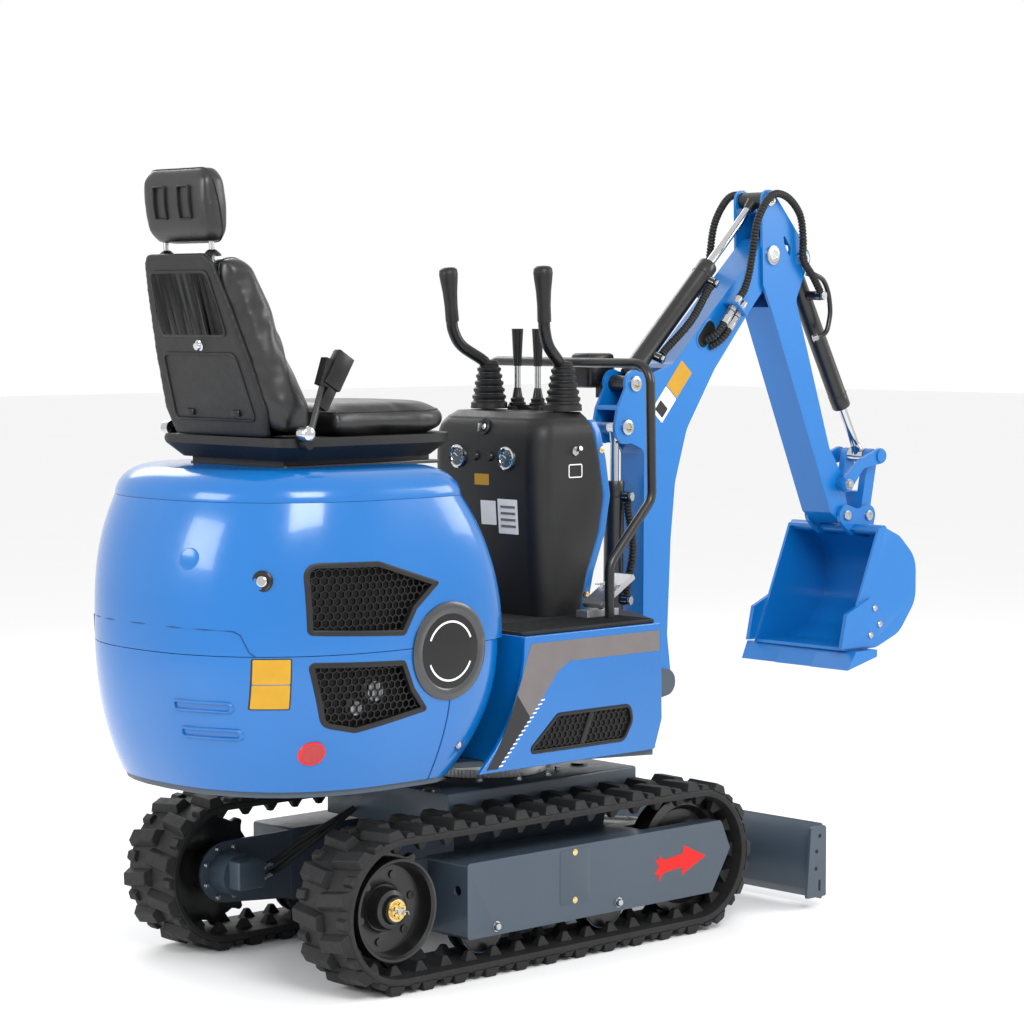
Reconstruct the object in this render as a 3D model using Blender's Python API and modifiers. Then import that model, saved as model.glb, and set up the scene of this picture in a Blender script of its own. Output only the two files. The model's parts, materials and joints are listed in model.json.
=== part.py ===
"""Mini excavator: rubber tracks, dozer blade, slewing upper structure, open seat, boom, arm and bucket.

Metres, +Z up, X forward, Y to the operator's left. Every shape is drawn in the machine frame, whose
origin is on the ground under the middle of the tracks. One root empty then shifts the whole machine
along X, so that the row's origin is under the middle of its bounding box. Each moving body hangs from
an empty on its joint's axis.
"""
import math

import bmesh
import bpy
from mathutils import Matrix, Vector

# ---------------------------------------------------------------- driving dimensions
OVERALL_WIDTH = 0.827
TRACK_WIDTH = 0.180
AXLE_SPACING = 0.978
BELT_RADIUS = 0.1708
BELT_STEPS = 14
BELT_THICKNESS = 0.022
LUG_HEIGHT = 0.0202
LUG_COUNT = 31
TEETH_COUNT = 11
SEAT_GAP = 0.0003
PIN_GAP = 0.0008
OVERLAP = 0.002

HALF_WIDTH = OVERALL_WIDTH / 2
AXLE_X = AXLE_SPACING / 2
AXLE_Z = BELT_RADIUS + LUG_HEIGHT
BELT_INNER = BELT_RADIUS - BELT_THICKNESS
TRACK_Y = HALF_WIDTH - TRACK_WIDTH / 2
TRACK_INNER_Y = HALF_WIDTH - TRACK_WIDTH

FRAME_BOTTOM = 0.094
FRAME_TOP = 0.273
FRAME_PLATE = 0.006
MOTOR_PLATE = 0.010
FRAME_OUTER_Y = HALF_WIDTH - 0.015
FRAME_INNER_Y = TRACK_INNER_Y + 0.016
FRAME_REAR_X = -AXLE_X + 0.203
FRAME_NOSE_X = AXLE_X + 0.123
ROLLER_RADIUS = 0.0715
ROLLER_X = (-AXLE_X + 0.295, AXLE_X - 0.277)
WHEEL_WIDTH = 0.050

SLEW_X = 0.130
TABLE_LENGTH = 0.640
TABLE_TOP = 0.405
TABLE_DEPTH = 0.100
RING_RADIUS = 0.160
RING_HEIGHT = 0.034
HOUSE_FLOOR = 0.480
DECK_THICKNESS = 0.014

BLADE_HEIGHT = 0.186
BLADE_BOTTOM = 0.030
BLADE_FRONT_X = 0.966
BLADE_PIVOT = Vector((0.470, 0.0, 0.160))
BLADE_ARM_Y = 0.150
BLADE_ARM_WIDTH = 0.032
BLADE_CYL_BASE = Vector((0.415, 0.0, 0.235))
BLADE_CYL_EYE = Vector((0.845, 0.0, 0.165))
BLADE_BASE_GAP = 0.032
BLADE_EYE_GAP = 0.016

PLATFORM_TOP = 0.790
MAT_THICKNESS = 0.008
SKIRT_THICKNESS = 0.012
SKIRT_FRONT_X = 0.341
PLATFORM_NOSE_X = 0.430
PLATFORM_NOSE_Y = 0.240

TAIL_X = -0.925
TAIL_CENTRE_X = -0.500
BONNET_SEAM = 0.790
CAP_SEAM = 1.127
CAP_TOP = 1.195
WAIST_Z = 0.840
SHELL_WALL = 0.012

CONSOLE_HALF = 0.200
CONSOLE_TOP = 1.300
CONSOLE_PANEL = 0.026
JOYSTICK_BASE = Vector((0.278, 0.135, CONSOLE_TOP))
JOYSTICK_TOP = Vector((0.171, 0.173, 1.660))
RAIL_RADIUS = 0.012
RAIL_Y = 0.300
RAIL_TOP = 1.420

SEAT_HALF = 0.235
SEAT_REAR_X = -0.690
SEAT_FRONT_X = -0.115
SEAT_BASE = 0.018
PAN_HEIGHT = 0.050
CUSHION_TOP = 1.335
CUSHION_BULGE = 0.006
BACK_TOP = 1.680
BACK_LEAN = 0.130

BOOM_HALF = 0.043
ARM_PLATE = 0.009
ARM_HALF = BOOM_HALF + ARM_PLATE
EAR_GAP = BOOM_HALF - 0.009
FORK_GAP = 0.028
BOOM_FOOT = Vector((0.735, 0.0, 0.576))
BOOM_CYL_BASE = Vector((0.590, 0.0, 0.600))
BOOM_CYL_EYE = Vector((0.598, 0.0, 1.250))
ARM_CYL_BASE = Vector((0.628, 0.0, 1.362))
ARM_CYL_EYE = Vector((1.134, 0.0, 1.849))
ARM_PIVOT = Vector((1.149, 0.0, 1.700))
BUCKET_CYL_BASE = Vector((1.272, 0.0, 1.693))
ROCKER_PIVOT = Vector((1.437, 0.0, 1.070))
ROCKER_PIN = Vector((1.579, 0.0, 1.144))
BUCKET_PIVOT = Vector((1.452, 0.0, 0.982))
LINK_PIVOT = Vector((1.545, 0.0, 0.978))
BULKHEAD = (0.985, 0.0, 1.555)
BUCKET_PORT = 0.115
BUCKET_HALF = 0.166
BUCKET_WALL = 0.008
EDGE_HALF = 0.200
BUCKET_BACK_X = 1.632
CYL_RADIUS = 0.026
ROD_RADIUS = 0.012
ROD_TAIL = 0.56
HOSE_RADIUS = 0.010
PORT_RADIUS = 0.011
PORT_REACH = 0.054
LONG_PORT_REACH = 0.084
HOSE_STAND = CYL_RADIUS + HOSE_RADIUS + 0.005

CENTRE_X = (TAIL_X + BUCKET_BACK_X) / 2

# ---------------------------------------------------------------- colours
BLUE = ((0.012, 0.235, 0.800), 0.25, 0.0)
SLATE = ((0.055, 0.080, 0.110), 0.45, 0.1)
BLACK = ((0.012, 0.012, 0.013), 0.55, 0.0)
RUBBER = ((0.018, 0.018, 0.018), 0.85, 0.0)
VINYL = ((0.010, 0.010, 0.011), 0.40, 0.0)
STEEL = ((0.450, 0.450, 0.460), 0.35, 0.9)
CHROME = ((0.800, 0.800, 0.820), 0.12, 1.0)


# ---------------------------------------------------------------- scene and bodies
def clear_scene():
    """Remove whatever objects the file holds."""
    for old in list(bpy.data.objects):
        bpy.data.objects.remove(old, do_unlink=True)


def new_collection(name):
    collection = bpy.data.collections.new(name)
    bpy.context.scene.collection.children.link(collection)
    return collection


def material(name, look):
    colour, roughness, metallic = look
    mat = bpy.data.materials.new(name)
    mat.use_nodes = True
    shader = mat.node_tree.nodes["Principled BSDF"]
    shader.inputs["Base Color"].default_value = (*colour, 1.0)
    shader.inputs["Roughness"].default_value = roughness
    shader.inputs["Metallic"].default_value = metallic
    return mat


def add_body(name, pivot, parent):
    """An empty on the body's joint axis, under its parent body's empty."""
    empty = bpy.data.objects.new(f"{name}_axis", None)
    empty["pivot"] = tuple(pivot)
    PARTS.objects.link(empty)
    if parent:
        empty.parent = BODIES[parent]
        empty.location = Vector(pivot) - Vector(BODIES[parent]["pivot"])
    else:
        empty.location = Vector(pivot) - Vector((CENTRE_X, 0.0, 0.0))
    BODIES[name] = empty


def finish(obj, name, body, look):
    """Name a sub-part, give it its material and hang it from its body."""
    obj.name = name
    obj.data.name = name
    obj.data.materials.clear()
    obj.data.materials.append(material(name, look))
    CUTTERS.objects.unlink(obj)
    PARTS.objects.link(obj)
    obj.hide_render = False
    obj.display_type = "TEXTURED"
    obj.parent = BODIES[body]
    obj.location = -Vector(BODIES[body]["pivot"])
    return obj


# ---------------------------------------------------------------- shapes
def held(mesh, name):
    """A helper solid: hidden from the render until finish() makes it a sub-part."""
    obj = bpy.data.objects.new(name, mesh)
    obj.hide_render = True
    obj.display_type = "WIRE"
    CUTTERS.objects.link(obj)
    return obj


def from_bmesh(bm, name):
    bmesh.ops.recalc_face_normals(bm, faces=bm.faces)
    mesh = bpy.data.meshes.new(name)
    bm.to_mesh(mesh)
    bm.free()
    return held(mesh, name)


def box(low, high, name="box"):
    low = Vector(low)
    high = Vector(high)
    bm = bmesh.new()
    size = Matrix.Diagonal((*(high - low), 1.0))
    bmesh.ops.create_cube(bm, size=1.0, matrix=Matrix.Translation((low + high) / 2) @ size)
    return from_bmesh(bm, name)


def cylinder(start, end, radius, end_radius=None, segments=20, name="cylinder"):
    """A round bar, or a cone when end_radius differs, from start to end."""
    start = Vector(start)
    end = Vector(end)
    turn = Vector((0.0, 0.0, 1.0)).rotation_difference(end - start).to_matrix().to_4x4()
    bm = bmesh.new()
    bmesh.ops.create_cone(
        bm, cap_ends=True, segments=segments, radius1=radius,
        radius2=radius if end_radius is None else end_radius, depth=(end - start).length,
        matrix=Matrix.Translation((start + end) / 2) @ turn)
    return from_bmesh(bm, name)


def cross_pin(centre, radius, half, segments=16):
    """A round bar along Y through a point of the side view."""
    offset = Vector((0.0, half, 0.0))
    return cylinder(Vector(centre) - offset, Vector(centre) + offset, radius, segments=segments)


def rounded(points, steps=4):
    """Outline points (u, v, radius), with an arc in place of each corner that has a radius."""
    outline = []
    for index, (u, v, radius) in enumerate(points):
        corner = Vector((u, v))
        if not radius:
            outline.append(corner)
            continue
        before = (Vector(points[index - 1][:2]) - corner).normalized()
        after = (Vector(points[(index + 1) % len(points)][:2]) - corner).normalized()
        half_angle = before.angle(after) / 2
        centre = corner + (before + after).normalized() * radius / math.sin(half_angle)
        first = corner + before * radius / math.tan(half_angle) - centre
        last = corner + after * radius / math.tan(half_angle) - centre
        sweep = first.angle_signed(last)
        for step in range(steps + 1):
            spoke = first.copy()
            spoke.rotate(Matrix.Rotation(-sweep * step / steps, 2))
            outline.append(centre + spoke)
    return outline


def arc(centre, radius, start_deg, end_deg, steps):
    """Points of an arc in an outline's plane, each with no corner radius of its own."""
    points = []
    for step in range(steps + 1):
        angle = math.radians(start_deg + (end_deg - start_deg) * step / steps)
        points.append((centre[0] + radius * math.cos(angle), centre[1] + radius * math.sin(angle), 0.0))
    return points


def flat_shape(outlines, low, high, plane, name):
    """Flat outlines filled as a 2D curve and extruded: along Y from XZ, or along Z from XY."""
    curve = bpy.data.curves.new(name, "CURVE")
    curve.dimensions = "2D"
    curve.fill_mode = "BOTH"
    curve.extrude = (high - low) / 2
    for outline in outlines:
        spline = curve.splines.new("POLY")
        spline.points.add(len(outline) - 1)
        for point, place in zip(spline.points, outline):
            point.co = (place[0], place[1], 0.0, 1.0)
        spline.use_cyclic_u = True
    source = bpy.data.objects.new(name, curve)
    CUTTERS.objects.link(source)
    mesh = bpy.data.meshes.new_from_object(source)
    middle = (low + high) / 2
    if plane == "XZ":
        mesh.transform(Matrix.Translation((0.0, middle, 0.0)) @ Matrix.Rotation(math.pi / 2, 4, "X"))
    else:
        mesh.transform(Matrix.Translation((0.0, 0.0, middle)))
    bpy.data.objects.remove(source, do_unlink=True)
    bm = bmesh.new()
    bm.from_mesh(mesh)
    bmesh.ops.remove_doubles(bm, verts=bm.verts, dist=1e-6)
    return from_bmesh(bm, name)


def side_plate(points, low_y, high_y, name="plate"):
    return flat_shape([rounded(points)], low_y, high_y, "XZ", name)


def floor_plate(points, low_z, high_z, name="plate"):
    return flat_shape([rounded(points)], low_z, high_z, "XY", name)


def turned(profile, centre, axis, segments=24, name="turned"):
    """A closed profile of (radius, height) points, turned by a Screw modifier about an axis."""
    mesh = bpy.data.meshes.new(name)
    vertices = [(radius, 0.0, height) for radius, height in profile]
    edges = [(index, index + 1) for index in range(len(profile) - 1)]
    if profile[0][0] > 0.0:
        edges.append((len(profile) - 1, 0))
    mesh.from_pydata(vertices, edges, [])
    source = bpy.data.objects.new(name, mesh)
    CUTTERS.objects.link(source)
    screw = source.modifiers.new("turn", "SCREW")
    screw.axis = "Z"
    screw.steps = segments
    screw.render_steps = segments
    screw.use_merge_vertices = True
    screw.merge_threshold = 0.00001
    bpy.context.view_layer.update()
    evaluated = source.evaluated_get(bpy.context.evaluated_depsgraph_get())
    result = bpy.data.meshes.new_from_object(evaluated)
    turn = Vector((0.0, 0.0, 1.0)).rotation_difference(Vector(axis)).to_matrix().to_4x4()
    result.transform(Matrix.Translation(centre) @ turn)
    bpy.data.objects.remove(source, do_unlink=True)
    bm = bmesh.new()
    bm.from_mesh(result)
    bmesh.ops.remove_doubles(bm, verts=bm.verts, dist=1e-6)
    return from_bmesh(bm, name)


def bent_path(points, radius, steps=5):
    """A 3-D polyline with an arc of the given radius at each inner corner."""
    path = [Vector(points[0])]
    for before, corner, after in zip(points, points[1:], points[2:]):
        corner = Vector(corner)
        back = (Vector(before) - corner).normalized()
        forward = (Vector(after) - corner).normalized()
        half_angle = back.angle(forward) / 2
        reach = radius / math.tan(half_angle)
        centre = corner + (back + forward).normalized() * radius / math.sin(half_angle)
        first = corner + back * reach - centre
        last = corner + forward * reach - centre
        turn = first.rotation_difference(last)
        for step in range(steps + 1):
            spoke = first.copy()
            spoke.rotate(turn.__class__().slerp(turn, step / steps))
            path.append(centre + spoke)
    path.append(Vector(points[-1]))
    return path


def tube(points, radius, name="tube", ring=2):
    """A bar along a path: a curve with a bevel depth and filled caps, as a mesh."""
    curve = bpy.data.curves.new(name, "CURVE")
    curve.dimensions = "3D"
    curve.bevel_depth = radius
    curve.bevel_resolution = ring
    curve.use_fill_caps = True
    spline = curve.splines.new("POLY")
    spline.points.add(len(points) - 1)
    for point, place in zip(spline.points, points):
        point.co = (*place, 1.0)
    source = bpy.data.objects.new(name, curve)
    CUTTERS.objects.link(source)
    mesh = bpy.data.meshes.new_from_object(source)
    bpy.data.objects.remove(source, do_unlink=True)
    bm = bmesh.new()
    bm.from_mesh(mesh)
    bmesh.ops.remove_doubles(bm, verts=bm.verts, dist=1e-6)
    return from_bmesh(bm, name)


def loft(rings, name="loft"):
    """A closed solid through unlike sections: rings of equally many points, bottom to top."""
    bm = bmesh.new()
    layers = [[bm.verts.new(point) for point in ring] for ring in rings]
    count = len(rings[0])
    for lower, upper in zip(layers, layers[1:]):
        for index in range(count):
            following = (index + 1) % count
            bm.faces.new((lower[index], lower[following], upper[following], upper[index]))
    bm.faces.new(layers[0][::-1])
    bm.faces.new(layers[-1])
    return from_bmesh(bm, name)


def boolean(target, tool, operation):
    tool.parent = target
    modifier = target.modifiers.new(operation.lower(), "BOOLEAN")
    modifier.operation = operation
    modifier.solver = "EXACT"
    modifier.object = tool
    return target


def cut(target, *tools):
    for tool in tools:
        boolean(target, tool, "DIFFERENCE")
    return target


def unite(target, *tools):
    for tool in tools:
        boolean(target, tool, "UNION")
    return target


def soften(obj, width, segments=2, angle=40.0):
    bevel = obj.modifiers.new("soften", "BEVEL")
    bevel.width = width
    bevel.segments = segments
    bevel.limit_method = "ANGLE"
    bevel.angle_limit = math.radians(angle)
    return obj


def side_name(side):
    """side is +1 on the left and -1 on the right."""
    return "left" if side > 0 else "right"


def span(side, inner, outer):
    """The low and high Y of a plate between two distances from the middle, on one side."""
    return tuple(sorted((side * inner, side * outer)))


# ---------------------------------------------------------------- undercarriage
def belt_point(distance, offset):
    """A point at a distance along the belt's outer line, moved outwards by an offset."""
    straight = AXLE_SPACING
    bend = math.pi * BELT_RADIUS
    distance %= 2 * (straight + bend)
    radius = BELT_RADIUS + offset
    if distance < straight:
        return (AXLE_X - distance, AXLE_Z + radius, 0.0)
    distance -= straight
    if distance < bend:
        angle = math.pi / 2 + distance / BELT_RADIUS
        return (-AXLE_X + radius * math.cos(angle), AXLE_Z + radius * math.sin(angle), 0.0)
    distance -= bend
    if distance < straight:
        return (-AXLE_X + distance, AXLE_Z - radius, 0.0)
    angle = -math.pi / 2 + (distance - straight) / BELT_RADIUS
    return (AXLE_X + radius * math.cos(angle), AXLE_Z + radius * math.sin(angle), 0.0)


def make_track(side):
    """One fixed loop with its shoes in the outline."""
    pitch = 2 * (AXLE_SPACING + math.pi * BELT_RADIUS) / LUG_COUNT
    outer = []
    for lug in range(LUG_COUNT):
        start = lug * pitch
        for share, offset in ((0.05, 0.0), (0.15, LUG_HEIGHT), (0.50, LUG_HEIGHT), (0.60, 0.0), (0.82, 0.0)):
            outer.append(belt_point(start + share * pitch, offset))
    inner = arc((-AXLE_X, AXLE_Z), BELT_INNER, 90, 270, BELT_STEPS) + arc((AXLE_X, AXLE_Z), BELT_INNER, -90, 90, BELT_STEPS)
    low, high = span(side, TRACK_INNER_Y, HALF_WIDTH)
    track = flat_shape([outer, inner], low, high, "XZ", "track")
    finish(track, f"track_{side_name(side)}", "undercarriage", RUBBER)


def make_sprocket(side):
    """Toothed plate in the middle of the belt, with a dished drum and a hub nut outside it."""
    outline = []
    for tooth in range(TEETH_COUNT):
        for share, radius in ((0.0, 0.130), (0.30, 0.130), (0.42, 0.146), (0.58, 0.146), (0.70, 0.130)):
            angle = 2 * math.pi * (tooth + share) / TEETH_COUNT
            outline.append((-AXLE_X + radius * math.cos(angle), AXLE_Z + radius * math.sin(angle), 0.0))
    low, high = span(side, TRACK_Y - 0.012, TRACK_Y + 0.012)
    plate = flat_shape([outline], low, high, "XZ", "teeth")
    depth = HALF_WIDTH - 0.020 - TRACK_Y
    profile = [(0.0, 0.0), (0.118, 0.0), (0.118, depth - 0.008), (0.108, depth - 0.008), (0.100, 0.024),
               (0.050, 0.030), (0.036, depth - 0.012), (0.024, depth - 0.012), (0.024, depth + 0.002),
               (0.0, depth + 0.002)]
    drum = turned(profile, (-AXLE_X, side * TRACK_Y, AXLE_Z), (0, side, 0), name="drum")
    plate_face = side * (FRAME_INNER_Y + MOTOR_PLATE + SEAT_GAP)
    gearbox = cylinder((-AXLE_X, plate_face, AXLE_Z), (-AXLE_X, side * (TRACK_Y - 0.004), AXLE_Z), 0.062)
    finish(unite(plate, drum, gearbox), f"sprocket_{side_name(side)}", "undercarriage", BLACK)


def make_idler(side):
    """Front wheel on an axle that reaches both plates of the track frame."""
    half = WHEEL_WIDTH / 2
    rim = BELT_INNER * math.cos(math.pi / BELT_STEPS / 2) - SEAT_GAP
    profile = [(0.0, -half - 0.010), (0.045, -half - 0.010), (0.050, -0.008), (rim - 0.030, -0.008), (rim - 0.022, -half),
               (rim, -half), (rim, half), (rim - 0.022, half), (rim - 0.030, 0.008), (0.050, 0.008),
               (0.045, half + 0.010), (0.0, half + 0.010)]
    wheel = turned(profile, (AXLE_X, side * TRACK_Y, AXLE_Z), (0, side, 0), name="idler")
    inner = side * (FRAME_INNER_Y + FRAME_PLATE + SEAT_GAP)
    outer = side * (FRAME_OUTER_Y - FRAME_PLATE - SEAT_GAP)
    axle = cylinder((AXLE_X, inner, AXLE_Z), (AXLE_X, outer, AXLE_Z), 0.020)
    finish(unite(wheel, axle), f"idler_{side_name(side)}", "undercarriage", BLACK)


def frame_outline(rear_x):
    """Side view of a track frame's plate, with its pointed nose at the idler."""
    return [(rear_x, FRAME_BOTTOM, 0.008), (FRAME_NOSE_X - 0.067, FRAME_BOTTOM, 0.012), (FRAME_NOSE_X, AXLE_Z + 0.008, 0.010),
            (FRAME_NOSE_X - 0.034, FRAME_TOP, 0.012), (rear_x, FRAME_TOP, 0.008)]


def make_track_frame(side):
    """Inverted channel with its rear flange, and the two bottom rollers that it carries."""
    low, high = span(side, FRAME_INNER_Y, FRAME_OUTER_Y)
    frame = side_plate(frame_outline(FRAME_REAR_X), low, high)
    inside = span(side, FRAME_INNER_Y + FRAME_PLATE, FRAME_OUTER_Y - FRAME_PLATE)
    cut(frame, box((FRAME_REAR_X + FRAME_PLATE, inside[0], 0.0), (0.70, inside[1], FRAME_TOP - FRAME_PLATE)))
    slot = span(side, TRACK_Y - 0.032, TRACK_Y + 0.032)
    cut(frame, box((AXLE_X - BELT_INNER - 0.006, slot[0], 0.20), (0.70, slot[1], 0.40)))
    hole = cylinder((FRAME_REAR_X - 0.02, side * (TRACK_Y + 0.040), AXLE_Z + 0.015),
                    (FRAME_REAR_X + 0.02, side * (TRACK_Y + 0.040), AXLE_Z + 0.015), 0.012)
    cut(frame, hole)
    motor_plate = [(FRAME_REAR_X + 0.02, FRAME_TOP - 0.004, 0.0), (-AXLE_X, AXLE_Z + 0.075, 0.0)]
    motor_plate += arc((-AXLE_X, AXLE_Z), 0.075, 90, 270, 10)[1:]
    motor_plate += [(FRAME_REAR_X + 0.02, FRAME_BOTTOM + 0.004, 0.0)]
    low, high = span(side, FRAME_INNER_Y + OVERLAP, FRAME_INNER_Y + MOTOR_PLATE)
    unite(frame, side_plate(motor_plate, low, high))
    roller_z = AXLE_Z - BELT_INNER + SEAT_GAP + ROLLER_RADIUS
    for roller_x in ROLLER_X:
        half = WHEEL_WIDTH / 2
        profile = [(0.0, -half), (ROLLER_RADIUS, -half), (ROLLER_RADIUS, -0.012), (ROLLER_RADIUS - 0.020, -0.010),
                   (ROLLER_RADIUS - 0.020, 0.010), (ROLLER_RADIUS, 0.012), (ROLLER_RADIUS, half), (0.0, half)]
        centre = (roller_x, side * TRACK_Y, roller_z)
        unite(frame, turned(profile, centre, (0, side, 0), segments=20, name="roller"))
        start = (roller_x, side * (FRAME_INNER_Y - 0.008), roller_z)
        end = (roller_x, side * (FRAME_OUTER_Y + 0.008), roller_z)
        unite(frame, cylinder(start, end, 0.010, segments=12))
    finish(frame, f"track_frame_{side_name(side)}", "undercarriage", SLATE)


def make_travel_motor(side):
    """Hydraulic motor on the inboard face of the motor plate, with its ported block."""
    face = FRAME_INNER_Y + OVERLAP - SEAT_GAP
    housing = cylinder((-AXLE_X, side * face, AXLE_Z), (-AXLE_X, side * (face - 0.060), AXLE_Z), 0.052)
    low, high = span(side, face - 0.100, face - 0.040)
    block = soften(box((-AXLE_X - 0.035, low, AXLE_Z - 0.030), (-AXLE_X + 0.045, high, AXLE_Z + 0.040)), 0.006)
    finish(unite(housing, block), f"travel_motor_{side_name(side)}", "undercarriage", SLATE)


def make_chassis():
    """Table under the slew ring, centre box, cross beams to the track frames and the blade lugs."""
    half_table = TABLE_LENGTH / 2
    half_y = TRACK_INNER_Y - 0.007
    table = box((SLEW_X - half_table, -half_y, TABLE_TOP - TABLE_DEPTH), (SLEW_X + half_table, half_y, TABLE_TOP))
    soften(table, 0.006)
    pillar = loft([rectangle(SLEW_X, 0.24, 0.15, 0.085), rectangle(SLEW_X, 0.26, 0.18, TABLE_TOP - TABLE_DEPTH + 0.01)])
    unite(table, pillar)
    beam_y = FRAME_INNER_Y - SEAT_GAP
    for beam_x in (SLEW_X - 0.215, SLEW_X + 0.215):
        unite(table, box((beam_x - 0.035, -beam_y, 0.110), (beam_x + 0.035, beam_y, 0.215)))
    for side in (-1, 1):
        for inner in (BLADE_ARM_Y - BLADE_ARM_WIDTH / 2 - PIN_GAP - 0.012, BLADE_ARM_Y + BLADE_ARM_WIDTH / 2 + PIN_GAP):
            lug = [(0.345, 0.115, 0.0), (BLADE_PIVOT.x, BLADE_PIVOT.z - 0.034, 0.0)]
            lug += arc((BLADE_PIVOT.x, BLADE_PIVOT.z), 0.034, -90, 90, 8)[1:]
            lug += [(0.345, 0.212, 0.0)]
            low, high = span(side, inner, inner + 0.012)
            unite(table, side_plate(lug, low, high))
    for side in (-1, 1):
        low, high = span(side, BLADE_BASE_GAP, BLADE_BASE_GAP + 0.010)
        base = BLADE_CYL_BASE
        lug = [(0.36, 0.190, 0.0), (base.x, base.z - 0.026, 0.0)] + arc((base.x, base.z), 0.026, -90, 90, 8)[1:]
        lug += [(0.36, 0.310, 0.0)]
        unite(table, side_plate(lug, low, high))
    finish(table, "chassis", "undercarriage", SLATE)


def rectangle(centre_x, half_x, half_y, z):
    return [(centre_x - half_x, -half_y, z), (centre_x + half_x, -half_y, z),
            (centre_x + half_x, half_y, z), (centre_x - half_x, half_y, z)]


def make_slew_ring():
    bottom = TABLE_TOP + SEAT_GAP
    inner = RING_RADIUS - 0.045
    profile = [(inner, 0.0), (inner, RING_HEIGHT), (RING_RADIUS - 0.012, RING_HEIGHT), (RING_RADIUS - 0.012, 0.016),
               (RING_RADIUS, 0.012), (RING_RADIUS, 0.0)]
    ring = turned(profile[::-1], (SLEW_X, 0.0, bottom), (0, 0, 1), segments=36, name="ring")
    finish(ring, "slew_ring", "undercarriage", STEEL)


# ---------------------------------------------------------------- blade
def make_blade():
    """Concave blade with end plates, two push arms and the cylinder's bracket."""
    top = BLADE_BOTTOM + BLADE_HEIGHT
    middle = (BLADE_BOTTOM + top) / 2
    sag = 0.036
    radius = (BLADE_HEIGHT ** 2 / 4 + sag ** 2) / (2 * sag)
    half_angle = math.degrees(math.asin(BLADE_HEIGHT / 2 / radius))
    centre = (BLADE_FRONT_X - 0.010 + radius - sag, middle)
    outline = arc(centre, radius, 180 - half_angle, 180 + half_angle, 8)
    outline += arc(centre, radius + 0.010, 180 + half_angle, 180 - half_angle, 8)
    blade = side_plate(outline, -HALF_WIDTH + OVERLAP, HALF_WIDTH - OVERLAP)
    for side in (-1, 1):
        end = [(BLADE_FRONT_X - 0.075, BLADE_BOTTOM, 0.004), (BLADE_FRONT_X, BLADE_BOTTOM, 0.004),
               (BLADE_FRONT_X, top, 0.010), (BLADE_FRONT_X - 0.060, top, 0.010)]
        low, high = span(side, HALF_WIDTH - 0.008, HALF_WIDTH)
        unite(blade, side_plate(end, low, high))
        arm = [(BLADE_PIVOT.x, BLADE_PIVOT.z + 0.030, 0.0)] + arc((BLADE_PIVOT.x, BLADE_PIVOT.z), 0.030, 90, 270, 8)[1:]
        arm += [(BLADE_FRONT_X - 0.045, BLADE_BOTTOM + 0.050, 0.0), (BLADE_FRONT_X - 0.045, BLADE_BOTTOM + 0.125, 0.0)]
        low, high = span(side, BLADE_ARM_Y - BLADE_ARM_WIDTH / 2, BLADE_ARM_Y + BLADE_ARM_WIDTH / 2)
        unite(blade, side_plate(arm, low, high))
    unite(blade, cross_pin((BLADE_PIVOT.x + 0.140, 0.0, BLADE_PIVOT.z - 0.030), 0.018, BLADE_ARM_Y))
    eye = BLADE_CYL_EYE
    for side in (-1, 1):
        low, high = span(side, BLADE_EYE_GAP, BLADE_EYE_GAP + 0.010)
        bracket = [(eye.x, eye.z + 0.024, 0.0)] + arc((eye.x, eye.z), 0.024, 90, 270, 8)[1:]
        bracket += [(BLADE_FRONT_X - 0.045, eye.z - 0.060, 0.0), (BLADE_FRONT_X - 0.035, eye.z + 0.030, 0.0)]
        unite(blade, side_plate(bracket, low, high))
    finish(blade, "dozer_blade", "blade", SLATE)


# ---------------------------------------------------------------- hydraulic cylinders
def hose_path(points, steps=5):
    """Points along one smooth curve through a hose's own route points."""
    route = [Vector(point) for point in points]
    route = [route[0] * 2 - route[1]] + route + [route[-1] * 2 - route[-2]]
    path = []
    for before, start, end, after in zip(route, route[1:], route[2:], route[3:]):
        for step in range(steps):
            share = step / steps
            path.append(0.5 * (2 * start + (end - before) * share
                               + (2 * before - 5 * start + 4 * end - after) * share ** 2
                               + (3 * start - before - 3 * end + after) * share ** 3))
    return path + [route[-2]]


def port_hose(name, body, base, eye, side, low, high, bow):
    """Hose beside a barrel, from the flank of its lower port to the flank of its upper one."""
    along = (eye - base).normalized()
    trim = PORT_RADIUS + 2 * SEAT_GAP
    stations = ((low + trim, 0.0), (low + 0.035, 0.0), ((low + high) / 2, bow), (high - 0.035, 0.0), (high - trim, 0.0))
    route = [base + along * reach + Vector(side) * (HOSE_STAND + out) for reach, out in stations]
    finish(tube(hose_path(route, 4), HOSE_RADIUS), name, body, RUBBER)


def make_cylinder(name, base, eye, barrel_length, base_gap, eye_gap, ports=()):
    """A barrel with its base eye, ports and gland, and its rod. Each eye fills its gap between two ears."""
    along = (eye - base).normalized()
    barrel = cylinder(base + along * 0.030, base + along * barrel_length, CYL_RADIUS, segments=24)
    bore = cylinder(base + along * 0.050, base + along * (barrel_length + 0.05), ROD_RADIUS + 0.0006, segments=12)
    unite(barrel, cross_pin(base, CYL_RADIUS * 0.85, base_gap - PIN_GAP))
    unite(barrel, cylinder(base, base + along * 0.045, CYL_RADIUS * 0.7))
    for place, side, reach in ports:
        root = base + along * place
        port = cylinder(root + Vector(side) * (CYL_RADIUS * 0.7), root + Vector(side) * reach, PORT_RADIUS, segments=12)
        unite(barrel, port)
    cut(barrel, bore)
    finish(barrel, f"{name}_cylinder_barrel", f"{name}_barrel", BLACK)
    rod = cylinder(base + along * (barrel_length * ROD_TAIL), eye - along * 0.010, ROD_RADIUS, segments=12)
    unite(rod, cross_pin(eye, 0.021, eye_gap - PIN_GAP))
    finish(rod, f"{name}_cylinder_rod", f"{name}_rod", CHROME)


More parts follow.
